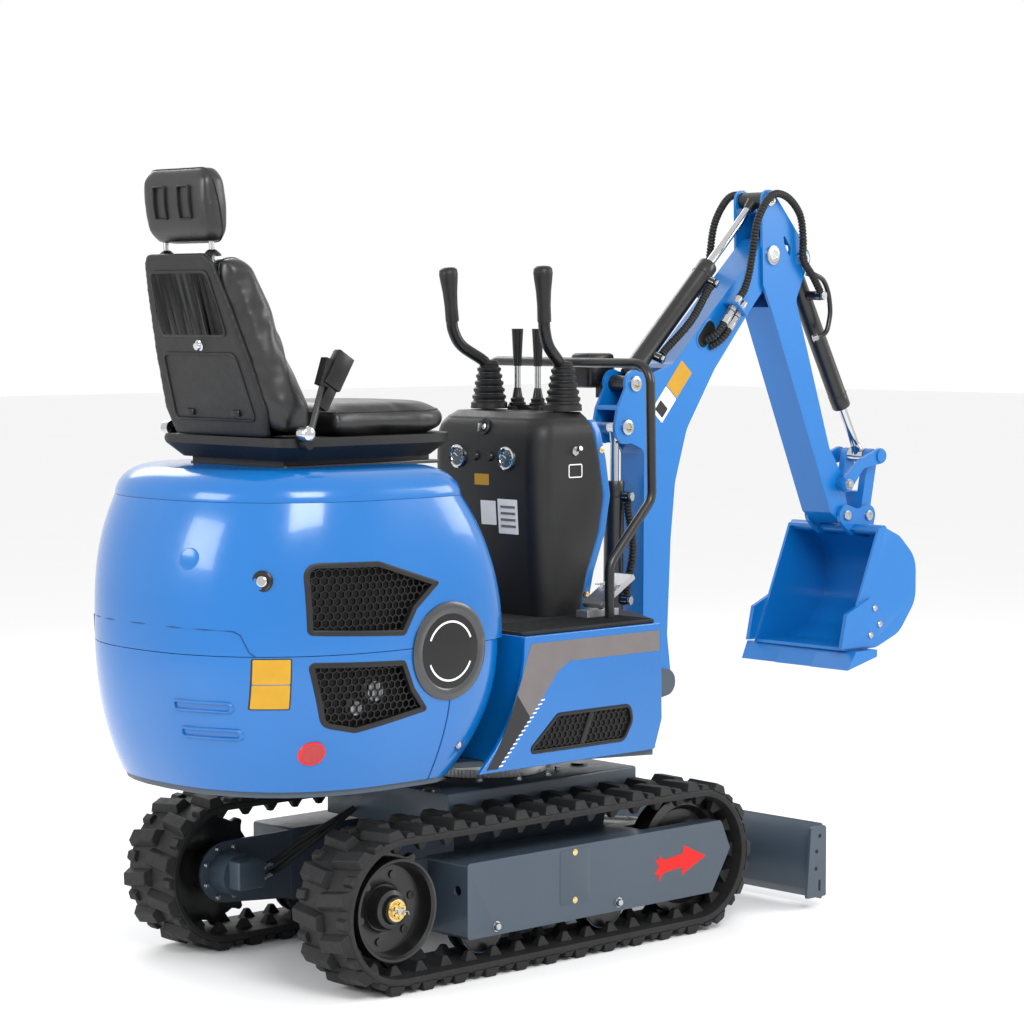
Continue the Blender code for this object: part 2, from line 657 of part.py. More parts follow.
# ---------------------------------------------------------------- house
def tail_inset(z):
    """How far the hood's side walls stand in from its widest line at a height."""
    if z > WAIST_Z:
        return 0.055 * ((z - WAIST_Z) / (CAP_SEAM - WAIST_Z)) ** 2.6
    return 0.070 * ((WAIST_Z - z) / (WAIST_Z - HOUSE_FLOOR)) ** 2.6


def hood_front(z):
    """X of the hood's front edge at a height: a bow that leaves room for the operator's legs."""
    if z > PLATFORM_TOP:
        return -0.105 - 0.105 * ((z - PLATFORM_TOP) / 0.320) ** 2
    return -0.121 - 0.146 * ((PLATFORM_TOP - z) / (PLATFORM_TOP - HOUSE_FLOOR)) ** 2.4


def hood_ring(z, inset=0.0, steps=36):
    """Plan section of the hood: a round tail and a squarer front, meeting at its widest line."""
    wall = tail_inset(z)
    half = HALF_WIDTH - 0.6 * wall - inset
    rear = TAIL_X + wall + inset
    front = hood_front(z) - inset
    ring = []
    for step in range(steps):
        angle = 2 * math.pi * step / steps
        cosine = math.cos(angle)
        sine = math.sin(angle)
        power = 2 / 6.0 if cosine > 0 else 2 / 2.4
        reach = front - TAIL_CENTRE_X if cosine > 0 else rear - TAIL_CENTRE_X
        x = TAIL_CENTRE_X + reach * abs(cosine) ** power
        y = half * math.copysign(abs(sine) ** power, sine)
        ring.append((x, y, z))
    return ring


def hood_levels(low, high, count):
    return [low + (high - low) * index / (count - 1) for index in range(count)]


def grille_opening(points, side):
    """A cutter through one side wall of the hood or a skirt, from an outline of the side view."""
    low, high = span(side, HALF_WIDTH - 0.230, HALF_WIDTH + 0.05)
    return side_plate(points, low, high, "opening")


def make_hood():
    """Lower cover, engine bonnet and the seat deck that caps it."""
    levels = hood_levels(HOUSE_FLOOR + SEAT_GAP, BONNET_SEAM - SEAT_GAP, 6)
    lower = loft([hood_ring(z) for z in levels])
    inside = [hood_ring(z, SHELL_WALL) for z in levels]
    inside[0] = hood_ring(HOUSE_FLOOR - 0.010, SHELL_WALL)
    inside[-1] = hood_ring(BONNET_SEAM + 0.010, SHELL_WALL)
    cut(lower, loft(inside))
    levels = hood_levels(BONNET_SEAM, CAP_SEAM - SEAT_GAP, 6)
    bonnet = loft([hood_ring(z) for z in levels])
    inside = [hood_ring(z, SHELL_WALL) for z in levels]
    inside[0] = hood_ring(BONNET_SEAM - 0.010, SHELL_WALL)
    inside[-1] = hood_ring(CAP_SEAM + 0.010, SHELL_WALL)
    cut(bonnet, loft(inside))
    for side in (-1, 1):
        upper = [(-0.735, 0.837, 0.012), (-0.490, 0.823, 0.012), (-0.455, 0.880, 0.0), (-0.384, 0.936, 0.004),
                 (-0.560, 0.992, 0.030), (-0.740, 0.995, 0.030)]
        cut(bonnet, grille_opening(upper, side))
        under = [(-0.735, 0.775, 0.012), (-0.700, 0.630, 0.030), (-0.620, 0.612, 0.030), (-0.415, 0.646, 0.006),
                 (-0.460, 0.700, 0.0), (-0.490, 0.765, 0.010)]
        cut(lower, grille_opening(under, side))
    finish(lower, "lower_cover", "house", BLUE)
    finish(bonnet, "engine_bonnet", "house", BLUE)
    rim = [hood_ring(CAP_SEAM)]
    for share in (0.35, 0.65, 0.85, 0.96, 1.0):
        z = CAP_SEAM + (CAP_TOP - CAP_SEAM) * share
        rim.append(hood_ring(CAP_SEAM, 0.085 * (1 - math.sqrt(1 - (share * 0.985) ** 2)))[:])
        rim[-1] = [(x, y, z) for x, y, _ in rim[-1]]
    finish(loft(rim), "seat_deck", "house", BLUE)


def make_house_frame():
    """Revolving deck with its bearing boss, the operator's platform and the skirts beside it."""
    ring = [(x, y, 0.0) for x, y, _ in hood_ring(HOUSE_FLOOR, 0.006) if x < -0.200]
    front = [(SKIRT_FRONT_X - 0.020, HALF_WIDTH - 0.006), (PLATFORM_NOSE_X - 0.020, PLATFORM_NOSE_Y - 0.010)]
    rear_left = [point for point in ring if point[1] >= 0]
    rear_right = [point for point in ring if point[1] < 0]
    outline = [(x, y, 0.0) for x, y in front[::-1]] + rear_left + rear_right
    outline += [(x, -y, 0.0) for x, y in front]
    bottom = HOUSE_FLOOR - DECK_THICKNESS
    deck = floor_plate(outline, bottom, HOUSE_FLOOR)
    boss_foot = TABLE_TOP + SEAT_GAP + RING_HEIGHT + PIN_GAP
    unite(deck, cylinder((SLEW_X, 0.0, boss_foot), (SLEW_X, 0.0, bottom + 0.005), RING_RADIUS - 0.018, segments=32))
    finish(deck, "house_deck", "house", SLATE)

    inner_y = HALF_WIDTH - SKIRT_THICKNESS - SEAT_GAP
    rear_x = hood_front(PLATFORM_TOP) + 0.006
    nose = [(rear_x, -inner_y, 0.0), (SKIRT_FRONT_X - 0.004, -inner_y, 0.0), (PLATFORM_NOSE_X, -PLATFORM_NOSE_Y, 0.010),
            (PLATFORM_NOSE_X, PLATFORM_NOSE_Y, 0.010), (SKIRT_FRONT_X - 0.004, inner_y, 0.0), (rear_x, inner_y, 0.0)]
    finish(floor_plate(nose, HOUSE_FLOOR + SEAT_GAP, PLATFORM_TOP), "platform", "house", BLUE)
    mat = [(rear_x + 0.004, -inner_y, 0.010), (SKIRT_FRONT_X - 0.010, -inner_y, 0.010),
           (PLATFORM_NOSE_X - 0.006, -PLATFORM_NOSE_Y + 0.004, 0.010),
           (PLATFORM_NOSE_X - 0.006, PLATFORM_NOSE_Y - 0.004, 0.010),
           (SKIRT_FRONT_X - 0.010, inner_y, 0.010), (rear_x + 0.004, inner_y, 0.010)]
    bottom = PLATFORM_TOP + SEAT_GAP
    finish(floor_plate(mat, bottom, bottom + MAT_THICKNESS), "floor_mat", "house", RUBBER)
    for side in (-1, 1):
        edge = [(hood_front(z) + 0.004, z, 0.0) for z in hood_levels(HOUSE_FLOOR + SEAT_GAP, PLATFORM_TOP, 7)]
        outline = edge + [(SKIRT_FRONT_X, PLATFORM_TOP, 0.006), (SKIRT_FRONT_X + 0.006, 0.554, 0.020),
                          (SKIRT_FRONT_X - 0.020, HOUSE_FLOOR + SEAT_GAP, 0.010)]
        low, high = span(side, HALF_WIDTH - SKIRT_THICKNESS, HALF_WIDTH)
        skirt = side_plate(outline, low, high)
        grille = [(-0.115, 0.512, 0.010), (0.215, 0.512, 0.030), (0.245, 0.560, 0.030), (0.235, 0.600, 0.020),
                  (-0.010, 0.600, 0.020)]
        recess = span(side, HALF_WIDTH - SKIRT_THICKNESS + 0.003, HALF_WIDTH + 0.05)
        cut(skirt, side_plate(grille, *recess))
        finish(skirt, f"side_skirt_{side_name(side)}", "house", BLUE)


def make_boom_bracket():
    """Nose bracket: two plates that hold the boom's foot and its cylinder's base."""
    inner = BOOM_HALF + PIN_GAP
    face_x = PLATFORM_NOSE_X + SEAT_GAP
    root_x = face_x + OVERLAP
    foot = BOOM_FOOT
    outline = [(root_x, HOUSE_FLOOR + 0.010, 0.0), (foot.x, foot.z - 0.036, 0.0)]
    outline += arc((foot.x, foot.z), 0.036, -90, 90, 8)[1:]
    outline += [(BOOM_CYL_BASE.x + 0.030, BOOM_CYL_BASE.z + 0.032, 0.020), (root_x, 0.700, 0.0)]
    bracket = side_plate(outline, -inner - 0.012, -inner)
    unite(bracket, box((root_x, -inner - 0.006, HOUSE_FLOOR + 0.015), (root_x + 0.030, inner + 0.006, 0.690)))
    unite(bracket, side_plate(outline, inner, inner + 0.012))
    flange = box((face_x, -0.110, HOUSE_FLOOR + 0.005), (face_x + 0.012, 0.110, 0.710))
    finish(unite(bracket, flange), "boom_bracket", "house", BLUE)


def make_engine():
    """The engine as one plain block, standing on the deck inside the hood."""
    block = box((-0.700, -0.170, HOUSE_FLOOR + SEAT_GAP), (-0.300, 0.170, 0.960))
    finish(block, "engine_block", "house", STEEL)


# ---------------------------------------------------------------- operator's place
def make_console():
    """Moulded control column and the painted panel on its front."""
    shape = ((PLATFORM_TOP + MAT_THICKNESS + 2 * SEAT_GAP, 0.158, 0.285, 0.192), (0.90, 0.148, 0.308, 0.194),
             (1.00, 0.138, 0.345, 0.198), (1.09, 0.132, 0.360, CONSOLE_HALF), (1.18, 0.130, 0.345, CONSOLE_HALF),
             (1.25, 0.134, 0.326, CONSOLE_HALF), (1.28, 0.146, 0.318, CONSOLE_HALF - 0.010),
             (CONSOLE_TOP, 0.172, 0.310, CONSOLE_HALF - 0.032))
    body = loft([console_ring(z, rear, front, half) for z, rear, front, half in shape])
    finish(body, "console", "house", BLACK)
    panel = []
    for z, _, front, half in shape[:-1]:
        panel.append(rectangle(front + SEAT_GAP + CONSOLE_PANEL / 2, CONSOLE_PANEL / 2, half - 0.004, z))
    finish(loft(panel), "console_panel", "house", BLUE)


def console_ring(z, rear, front, half):
    """Rounded rectangle in plan, with larger corners on the operator's side."""
    corners = [(rear, -half, 0.050), (front, -half, 0.010), (front, half, 0.010), (rear, half, 0.050)]
    return [(point[0], point[1], z) for point in rounded(corners)]


def make_joystick(side):
    """Bellows boot and a bent lever with its grip."""
    base = Vector((JOYSTICK_BASE.x, side * JOYSTICK_BASE.y, CONSOLE_TOP + SEAT_GAP))
    top = Vector((JOYSTICK_TOP.x, side * JOYSTICK_TOP.y, JOYSTICK_TOP.z))
    neck = base + Vector((-0.012, side * 0.002, 0.112))
    bend = Vector((top.x + 0.012, side * (JOYSTICK_TOP.y - 0.006), base.z + 0.200))
    pad = cylinder(base, base + Vector((0.0, 0.0, 0.010)), 0.047)
    boot = cylinder(base + Vector((0.0, 0.0, 0.006)), neck, 0.044, 0.026)
    lever = tube(bent_path([neck - Vector((0.0, 0.0, 0.020)), neck + Vector((0.0, 0.0, 0.020)), bend, top], 0.030, 3), 0.014)
    grip = cylinder(bend + Vector((0.0, 0.0, 0.020)), top, 0.015, 0.021)
    finish(unite(pad, boot, lever, grip), f"joystick_{side_name(side)}", "house", BLACK)


def make_travel_levers():
    """Two short travel levers on one base plate."""
    lever_x = 0.333
    plate = box((lever_x - 0.018, -0.010, CONSOLE_TOP - 0.012), (lever_x + 0.018, 0.104, CONSOLE_TOP + 0.012))
    for lever_y in (0.013, 0.088):
        foot = Vector((lever_x, lever_y, CONSOLE_TOP + 0.010))
        unite(plate, cylinder(foot, foot + Vector((0.0, 0.0, 0.045)), 0.017, 0.009, segments=16))
        unite(plate, cylinder(foot, foot + Vector((0.0, 0.0, 0.150)), 0.0055, segments=12))
        unite(plate, cylinder(foot + Vector((0.0, 0.0, 0.100)), foot + Vector((0.0, 0.0, 0.195)), 0.010, 0.015, segments=16))
    finish(plate, "travel_levers", "house", BLACK)


def make_pedal():
    """Cast pedal that tips on a floor bracket beside the console."""
    bottom = PLATFORM_TOP + MAT_THICKNESS + 2 * SEAT_GAP
    base = box((0.225, -0.275, bottom), (0.335, -0.235, bottom + 0.018))
    pad = side_plate([(0.270, bottom + 0.020, 0.003), (0.385, bottom + 0.088, 0.003), (0.378, bottom + 0.100, 0.003),
                      (0.262, bottom + 0.032, 0.003)], -0.284, -0.216)
    post = side_plate([(0.290, bottom + 0.010, 0.0), (0.325, bottom + 0.010, 0.0), (0.325, bottom + 0.060, 0.0),
                       (0.290, bottom + 0.036, 0.0)], -0.263, -0.247)
    finish(unite(base, post, pad), "pedal", "house", STEEL)


def make_handrail():
    """One bent tube from the floor on one side, over the console's front, to the other."""
    foot_z = PLATFORM_TOP + MAT_THICKNESS + 2 * SEAT_GAP
    path = []
    for side in (-1, 1):
        leg = [(0.277, side * RAIL_Y, foot_z), (0.277, side * RAIL_Y, 0.930), (0.425, side * RAIL_Y, 1.085),
               (0.418, side * RAIL_Y, RAIL_TOP)]
        path += leg if side < 0 else leg[::-1]
    finish(tube(bent_path(path, 0.050), RAIL_RADIUS), "handrail", "house", BLACK)


def make_seat():
    """Rails, pan, cushion, reclined back with its shell, headrest and belt buckles."""
    rail_z = CAP_TOP + SEAT_GAP
    pan_z = rail_z + SEAT_BASE
    rails = box((-0.640, -0.170, rail_z), (-0.200, 0.170, pan_z))
    pan = loft([seat_ring(pan_z - 0.002, 0.030), seat_ring(pan_z + PAN_HEIGHT * 0.6, 0.0), seat_ring(pan_z + PAN_HEIGHT, 0.0)])
    finish(unite(rails, pan), "seat_pan", "house", VINYL)
    low = pan_z + PAN_HEIGHT + SEAT_GAP
    cushion = loft([seat_ring(low, 0.004), seat_ring(low + 0.025, -CUSHION_BULGE), seat_ring(low + 0.055, -0.002),
                    seat_ring(CUSHION_TOP - 0.006, 0.022), seat_ring(CUSHION_TOP, 0.060)])
    cut(cushion, box((-0.90, -0.30, low - 0.010), (SEAT_REAR_X + 0.145, 0.30, 1.50)))
    finish(cushion, "seat_cushion", "house", VINYL)

    base = low
    panel = []
    pad = []
    for share, half, depth in ((0.0, 0.215, 0.120), (0.15, 0.232, 0.118), (0.45, 0.215, 0.100), (0.75, 0.190, 0.090),
                               (0.95, 0.170, 0.080), (1.0, 0.150, 0.060)):
        z = base + (BACK_TOP - base) * share
        rear = SEAT_REAR_X - BACK_LEAN * share
        panel.append(rectangle(rear + 0.010, 0.010, half - 0.045, z))
        pad.append([(x, y, z) for x, y in back_section(rear + 0.020 + SEAT_GAP, depth, half)])
    finish(loft(panel), "seat_back_panel", "house", BLACK)
    finish(loft(pad), "seat_back", "house", VINYL)

    head_low = 1.695
    head = []
    for share, half, depth in ((0.0, 0.108, 0.050), (0.15, 0.124, 0.085), (0.5, 0.130, 0.095), (0.85, 0.128, 0.085),
                               (1.0, 0.110, 0.050)):
        z = head_low + 0.185 * share
        middle = -0.768 - 0.022 * share
        head.append([(x, y, z) for x, y in back_section(middle - depth / 2, depth, half)])
    finish(loft(head), "headrest", "house", VINYL)
    for side in (-1, 1):
        foot = Vector((-0.775, side * 0.085, BACK_TOP + SEAT_GAP))
        post = cylinder(foot, (foot.x, foot.y, head_low - SEAT_GAP), 0.006, segments=12)
        finish(post, f"headrest_post_{side_name(side)}", "house", CHROME)

    for side in (-1, 1):
        seat_y = side * (SEAT_HALF + SEAT_GAP)
        foot = Vector((-0.640, side * (SEAT_HALF + CUSHION_BULGE + 0.013), pan_z + PAN_HEIGHT * 0.75))
        tip = foot + (Vector((0.055, 0.0, 0.160)) if side < 0 else Vector((0.110, 0.0, 0.100)))
        stalk = tube([foot, tip], 0.008)
        pivot = cylinder((foot.x, seat_y, foot.z), (foot.x, foot.y + side * 0.010, foot.z), 0.012)
        lock = box((-0.016, -0.011, -0.032), (0.016, 0.011, 0.032))
        lean = Vector((0.0, 0.0, 1.0)).rotation_difference(tip - foot).to_matrix().to_4x4()
        lock.data.transform(Matrix.Translation(tip) @ lean)
        finish(unite(pivot, stalk, lock), f"belt_buckle_{side_name(side)}", "house", BLACK)


def seat_ring(z, inset):
    """Plan section of the seat's cushion and pan: square behind and round in front."""
    half = SEAT_HALF - inset
    corners = [(SEAT_REAR_X + inset, -half, 0.040), (SEAT_FRONT_X - inset, -half, 0.150),
               (SEAT_FRONT_X - inset, half, 0.150), (SEAT_REAR_X + inset, half, 0.040)]
    return [(point[0], point[1], z) for point in rounded(corners, 6)]


def back_section(rear, depth, half):
    """Plan section of a padded back: rounded towards the front."""
    corners = [(rear, -half, 0.010), (rear + depth, -half, depth * 0.45), (rear + depth, half, depth * 0.45),
               (rear, half, 0.010)]
    return [(point[0], point[1]) for point in rounded(corners, 5)]


# ---------------------------------------------------------------- boom, arm and bucket
def make_boom():
    """Bent box boom with the ears of its two cylinders and slots between them."""
    foot = BOOM_FOOT
    eye = BOOM_CYL_EYE
    base = ARM_CYL_BASE
    tip = ARM_PIVOT
    outline = arc((foot.x, foot.z), 0.034, 180, 360, 8)
    outline += [(0.752, 0.700, 0.0), (0.764, 0.953, 0.100), (0.780, 1.101, 0.100), (0.824, 1.240, 0.100),
                (0.930, 1.395, 0.0), (1.056, 1.537, 0.0)]
    outline += arc((tip.x, tip.z), 0.046, -45, 120, 8)
    outline += [(0.929, 1.558, 0.0), (0.772, 1.412, 0.060), (0.690, 1.385, 0.020)]
    outline += arc((base.x, base.z), 0.036, 60, 200, 6)
    outline += [(0.566, 1.300, 0.010)]
    outline += arc((eye.x, eye.z), 0.044, 150, 290, 6)
    outline += [(0.663, 1.190, 0.020), (0.661, 0.640, 0.0)]
    boom = side_plate(outline, -BOOM_HALF, BOOM_HALF)
    slot = [(0.500, 1.150, 0.0), (0.6605, 1.150, 0.0), (0.6605, 1.295, 0.0), (0.500, 1.295, 0.0)]
    cut(boom, side_plate(slot, -EAR_GAP, EAR_GAP))
    slot = [(0.540, 1.307, 0.0), (0.668, 1.307, 0.0), (0.740, 1.375, 0.0), (0.740, 1.460, 0.0), (0.540, 1.460, 0.0)]
    cut(boom, side_plate(slot, -EAR_GAP, EAR_GAP))
    for pin in (foot, tip):
        unite(boom, cross_pin(pin, 0.020, BOOM_HALF + 0.0005))
    finish(boom, "boom", "boom", BLUE)


def make_arm():
    """Box arm whose upper end is slotted into two plates that straddle the boom's end."""
    top = ARM_CYL_EYE
    base = BUCKET_CYL_BASE
    outline = [(1.112, 1.620, 0.0)] + arc((top.x, top.z), 0.028, 180, 30, 6)
    outline += arc((base.x, base.z), 0.032, 35, -60, 6)
    outline += [(1.246, 1.580, 0.030), (1.390, 1.172, 0.0)]
    outline += arc((ROCKER_PIVOT.x, ROCKER_PIVOT.z), 0.026, 70, -40, 6)
    outline += arc((BUCKET_PIVOT.x, BUCKET_PIVOT.z), 0.024, 40, -110, 6)
    outline += [(1.398, 0.992, 0.010), (1.141, 1.566, 0.0)]
    arm = side_plate(outline, -ARM_HALF, ARM_HALF)
    inner = BOOM_HALF + PIN_GAP
    slot = [(1.000, 2.000, 0.0), (1.400, 2.000, 0.0), (1.400, 1.605, 0.0), (1.236, 1.605, 0.0), (1.150, 1.560, 0.0),
            (1.000, 1.560, 0.0)]
    cut(arm, side_plate(slot, -inner, inner))
    web = [(1.168, 1.816, 0.0), (1.176, 1.822, 0.0), (1.250, 1.735, 0.0), (1.242, 1.729, 0.0)]
    unite(arm, side_plate(web, -inner - 0.002, inner + 0.002))
    window = [(1.190, 1.765, 0.004), (1.222, 1.722, 0.004), (1.222, 1.690, 0.004), (1.196, 1.735, 0.004)]
    cut(arm, side_plate(window, -0.1, 0.1))
    finish(arm, "arm", "arm", BLUE)


def make_rocker():
    """A curved rocker on each side of the arm, with its bosses facing inwards."""
    start = ROCKER_PIVOT
    end = ROCKER_PIN
    middle = (start + end) / 2
    rise = Vector((-(end - start).z, 0.0, (end - start).x)).normalized()
    crown = middle + rise * 0.034
    saddle = middle + rise * 0.006
    along = math.degrees(math.atan2((end - start).z, (end - start).x))
    outline = arc((start.x, start.z), 0.022, along + 90, along + 300, 8)
    outline += [(saddle.x, saddle.z, 0.040)]
    outline += arc((end.x, end.z), 0.022, along - 120, along + 90, 8)
    outline += [(crown.x, crown.z, 0.060)]
    for side in (-1, 1):
        low, high = span(side, 0.068, 0.080)
        rocker = side_plate(outline, low, high)
        for pin, inner in ((start, ARM_HALF + PIN_GAP), (end, 0.066)):
            place = Vector((0.0, side, 0.0))
            unite(rocker, cylinder(pin + place * inner, pin + place * 0.085, 0.019, segments=20))
        finish(rocker, f"rocker_{side_name(side)}", "rocker", BLUE)


def make_link():
    """Forked link between the bucket's ears and the rockers."""
    start = LINK_PIVOT
    end = ROCKER_PIN
    along = math.degrees(math.atan2((end - start).z, (end - start).x))
    outline = arc((start.x, start.z), 0.020, along + 90, along + 270, 8)
    outline += arc((end.x, end.z), 0.020, along - 90, along + 90, 8)
    link = side_plate(outline, -0.052, 0.052)
    throat = start + (end - start) * 0.40
    fork = [(throat.x - 0.060, throat.z, 0.0), (throat.x + 0.060, throat.z, 0.0),
            (end.x + 0.080, end.z + 0.060, 0.0), (end.x - 0.080, end.z + 0.060, 0.0)]
    cut(link, side_plate(fork, -FORK_GAP, FORK_GAP))
    finish(link, "bucket_link", "bucket_link", BLUE)


def bucket_outline(inset):
    """Side view of the bucket's shell, or of the hollow inside it when inset."""
    mouth = -0.040 if inset else 0.0
    return [(1.470 + inset * 0.6 + mouth, 0.950 - inset, 0.0), (1.327 + mouth, 0.620 + inset, 0.0),
            (1.460, 0.620 + inset, 0.060), (1.560 - inset, 0.655 + inset, 0.080), (BUCKET_BACK_X - inset, 0.740, 0.080),
            (BUCKET_BACK_X - inset, 0.860, 0.080), (1.560 - inset, 0.925 - inset, 0.060), (1.500, 0.950 - inset, 0.010)]


def make_bucket():
    """Hollow bucket with ears, side cutters and the bolted edge under its floor."""
    bucket = side_plate(bucket_outline(0.0), -BUCKET_HALF, BUCKET_HALF)
    half = BUCKET_HALF - BUCKET_WALL
    cut(bucket, side_plate(bucket_outline(BUCKET_WALL), -half, half))
    unite(bucket, cross_pin((1.490, 0.0, 0.944), 0.014, BUCKET_HALF))
    ear = arc((BUCKET_PIVOT.x, BUCKET_PIVOT.z), 0.030, 90, 230, 6) + [(1.475, 0.925, 0.0), (1.560, 0.915, 0.0)]
    ear += arc((LINK_PIVOT.x, LINK_PIVOT.z), 0.030, -30, 90, 6) + [(1.500, 0.998, 0.0)]
    for side in (-1, 1):
        unite(bucket, side_plate(ear, *span(side, ARM_HALF + PIN_GAP, 0.065)))
        cutter = [(1.302, 0.627, 0.0), (1.440, 0.627, 0.020), (1.480, 0.690, 0.030), (1.434, 0.765, 0.020),
                  (1.324, 0.721, 0.0)]
        unite(bucket, side_plate(cutter, *span(side, BUCKET_HALF - 0.002, BUCKET_HALF + 0.010)))
    finish(bucket, "bucket", "bucket", BLUE)
    edge_top = 0.620 - SEAT_GAP
    edge = None
    third = EDGE_HALF * 2 / 3
    for index in range(3):
        low = -EDGE_HALF + index * third
        nose = 1.300 + 0.006 * index
        plate = side_plate([(nose, 0.571, 0.0), (1.425, 0.600, 0.0), (1.425, edge_top, 0.0), (1.335, edge_top, 0.0)],
                           low, low + third + (0.002 if index < 2 else 0.0))
        edge = unite(edge, plate) if edge else plate
    finish(edge, "cutting_edge", "bucket", BLUE)


def make_bulkhead():
    """Plate on the boom's right face with two unions, and their hoses back into the boom."""
    centre = Vector(BULKHEAD)
    along = Vector((0.664, 0.0, 0.748))
    across = Vector((0.748, 0.0, -0.664))
    inner = -(BOOM_HALF + SEAT_GAP)
    corners = [centre + along * a + across * b for a, b in ((-0.003, -0.026), (0.003, -0.026), (0.003, 0.026), (-0.003, 0.026))]
    plate = side_plate([(corner.x, corner.z, 0.0) for corner in corners], inner - 0.050, inner)
    for shift in (-0.012, 0.012):
        seat = centre + across * shift + Vector((0.0, inner - 0.028, 0.0))
        unite(plate, cylinder(seat - along * 0.052, seat + along * 0.030, 0.011, segments=8))
        route = [seat - along * 0.045, seat - along * 0.075, seat - along * 0.105 + Vector((0.0, 0.010, 0.0)),
                 seat - along * 0.122 + Vector((0.0, 0.028 - HOSE_RADIUS * 0.2, 0.0))]
        unite(plate, tube(hose_path(route, 3), HOSE_RADIUS))
    face = box((0.5, inner, 1.0), (1.5, 0.1, 2.0))
    cut(plate, face)
    finish(plate, "boom_bulkhead", "boom", BLUE)


def make_bucket_hose(side):
    """Hose from the boom, over the arm's top pin, to the bucket cylinder's port."""
    centre = Vector(BULKHEAD)
    along = Vector((0.664, 0.0, 0.748))
    outer = BOOM_HALF + SEAT_GAP + 0.028
    start = centre - Vector((0.748, 0.0, -0.664)) * 0.012 + along * (0.030 + 2 * SEAT_GAP)
    axis = (ROCKER_PIN - BUCKET_CYL_BASE).normalized()
    port = BUCKET_CYL_BASE + axis * BUCKET_PORT
    arrive = Vector((-0.35, 0.0, 0.937))
    end = port + arrive * (PORT_RADIUS + SEAT_GAP)
    route = [(start.x, outer, start.z), (start.x + 0.020, outer, start.z + 0.0225), (1.031, outer + 0.002, 1.648),
             (1.040, outer + 0.006, 1.700),
             (1.060, outer + 0.006, 1.790), (1.115, outer + 0.004, 1.858), (1.180, outer + 0.002, 1.858),
             (1.237, outer, 1.812), (1.252, outer, 1.745), (1.256, outer - 0.002, 1.690), (end.x - 0.028, outer - 0.002, end.z + 0.040),
             (end.x, outer - 0.002, end.z)]
    route = [(x, side * y, z) for x, y, z in route]
    finish(tube(hose_path(route, 4), HOSE_RADIUS), f"bucket_hose_{side_name(side)}", "arm", RUBBER)


def make_work_lamp():
    """Lamp on a foot at the boom's left ear."""
    inner = BOOM_HALF + SEAT_GAP
    foot = box((0.590, inner, 1.325), (0.650, inner + 0.020, 1.365))
    lamp = soften(box((0.560, inner + 0.012, 1.350), (0.655, inner + 0.085, 1.440)), 0.010)
    finish(unite(foot, lamp), "work_lamp", "boom", BLACK)


# ---------------------------------------------------------------- assembly
clear_scene()
PARTS = new_collection("mini_excavator")
CUTTERS = new_collection("cutters")
BODIES = {}

add_body("undercarriage", (0.0, 0.0, 0.0), None)
add_body("blade", BLADE_PIVOT, "undercarriage")
add_body("blade_barrel", BLADE_CYL_BASE, "undercarriage")
add_body("blade_rod", BLADE_CYL_EYE, "blade_barrel")
add_body("house", (SLEW_X, 0.0, HOUSE_FLOOR), "undercarriage")
add_body("boom", BOOM_FOOT, "house")
add_body("boom_barrel", BOOM_CYL_BASE, "house")
add_body("boom_rod", BOOM_CYL_EYE, "boom_barrel")
add_body("arm", ARM_PIVOT, "boom")
add_body("arm_barrel", ARM_CYL_BASE, "boom")
add_body("arm_rod", ARM_CYL_EYE, "arm_barrel")
add_body("bucket", BUCKET_PIVOT, "arm")
add_body("bucket_barrel", BUCKET_CYL_BASE, "arm")
add_body("bucket_rod", ROCKER_PIN, "bucket_barrel")
add_body("rocker", ROCKER_PIVOT, "arm")
add_body("bucket_link", LINK_PIVOT, "bucket")

make_chassis()
make_slew_ring()
for SIDE in (-1, 1):
    make_track(SIDE)
    make_sprocket(SIDE)
    make_idler(SIDE)
    make_track_frame(SIDE)
    make_travel_motor(SIDE)
make_blade()
make_cylinder("blade", BLADE_CYL_BASE, BLADE_CYL_EYE, 0.270, BLADE_BASE_GAP, BLADE_EYE_GAP)
make_house_frame()
make_hood()
make_engine()
make_boom_bracket()
make_console()
for SIDE in (-1, 1):
    make_joystick(SIDE)
make_travel_levers()
make_pedal()
make_handrail()
make_seat()
make_boom()
make_work_lamp()
BOOM_PORT_SIDE = (0.287, -0.958, 0.0)
ARM_PORT_SIDE = (0.416, -0.800, -0.432)
make_cylinder("boom", BOOM_CYL_BASE, BOOM_CYL_EYE, 0.510, BOOM_HALF + PIN_GAP, EAR_GAP,
              ((0.200, BOOM_PORT_SIDE, PORT_REACH), (0.470, BOOM_PORT_SIDE, PORT_REACH)))
port_hose("boom_cylinder_hose", "boom_barrel", BOOM_CYL_BASE, BOOM_CYL_EYE, BOOM_PORT_SIDE, 0.200, 0.470, 0.016)
make_cylinder("arm", ARM_CYL_BASE, ARM_CYL_EYE, 0.448, EAR_GAP, BOOM_HALF + PIN_GAP,
              ((0.120, ARM_PORT_SIDE, PORT_REACH), (0.405, ARM_PORT_SIDE, PORT_REACH)))
port_hose("arm_cylinder_hose", "arm_barrel", ARM_CYL_BASE, ARM_CYL_EYE, ARM_PORT_SIDE, 0.120, 0.405, 0.010)
make_arm()
BUCKET_PORT_SIDES = ((0.0, -1.0, 0.0), (0.0, 1.0, 0.0))
make_cylinder("bucket", BUCKET_CYL_BASE, ROCKER_PIN, 0.471, BOOM_HALF + PIN_GAP, FORK_GAP,
              [(BUCKET_PORT, side, LONG_PORT_REACH) for side in BUCKET_PORT_SIDES])
make_bulkhead()
for SIDE in (-1, 1):
    make_bucket_hose(SIDE)
make_rocker()
make_link()
make_bucket()
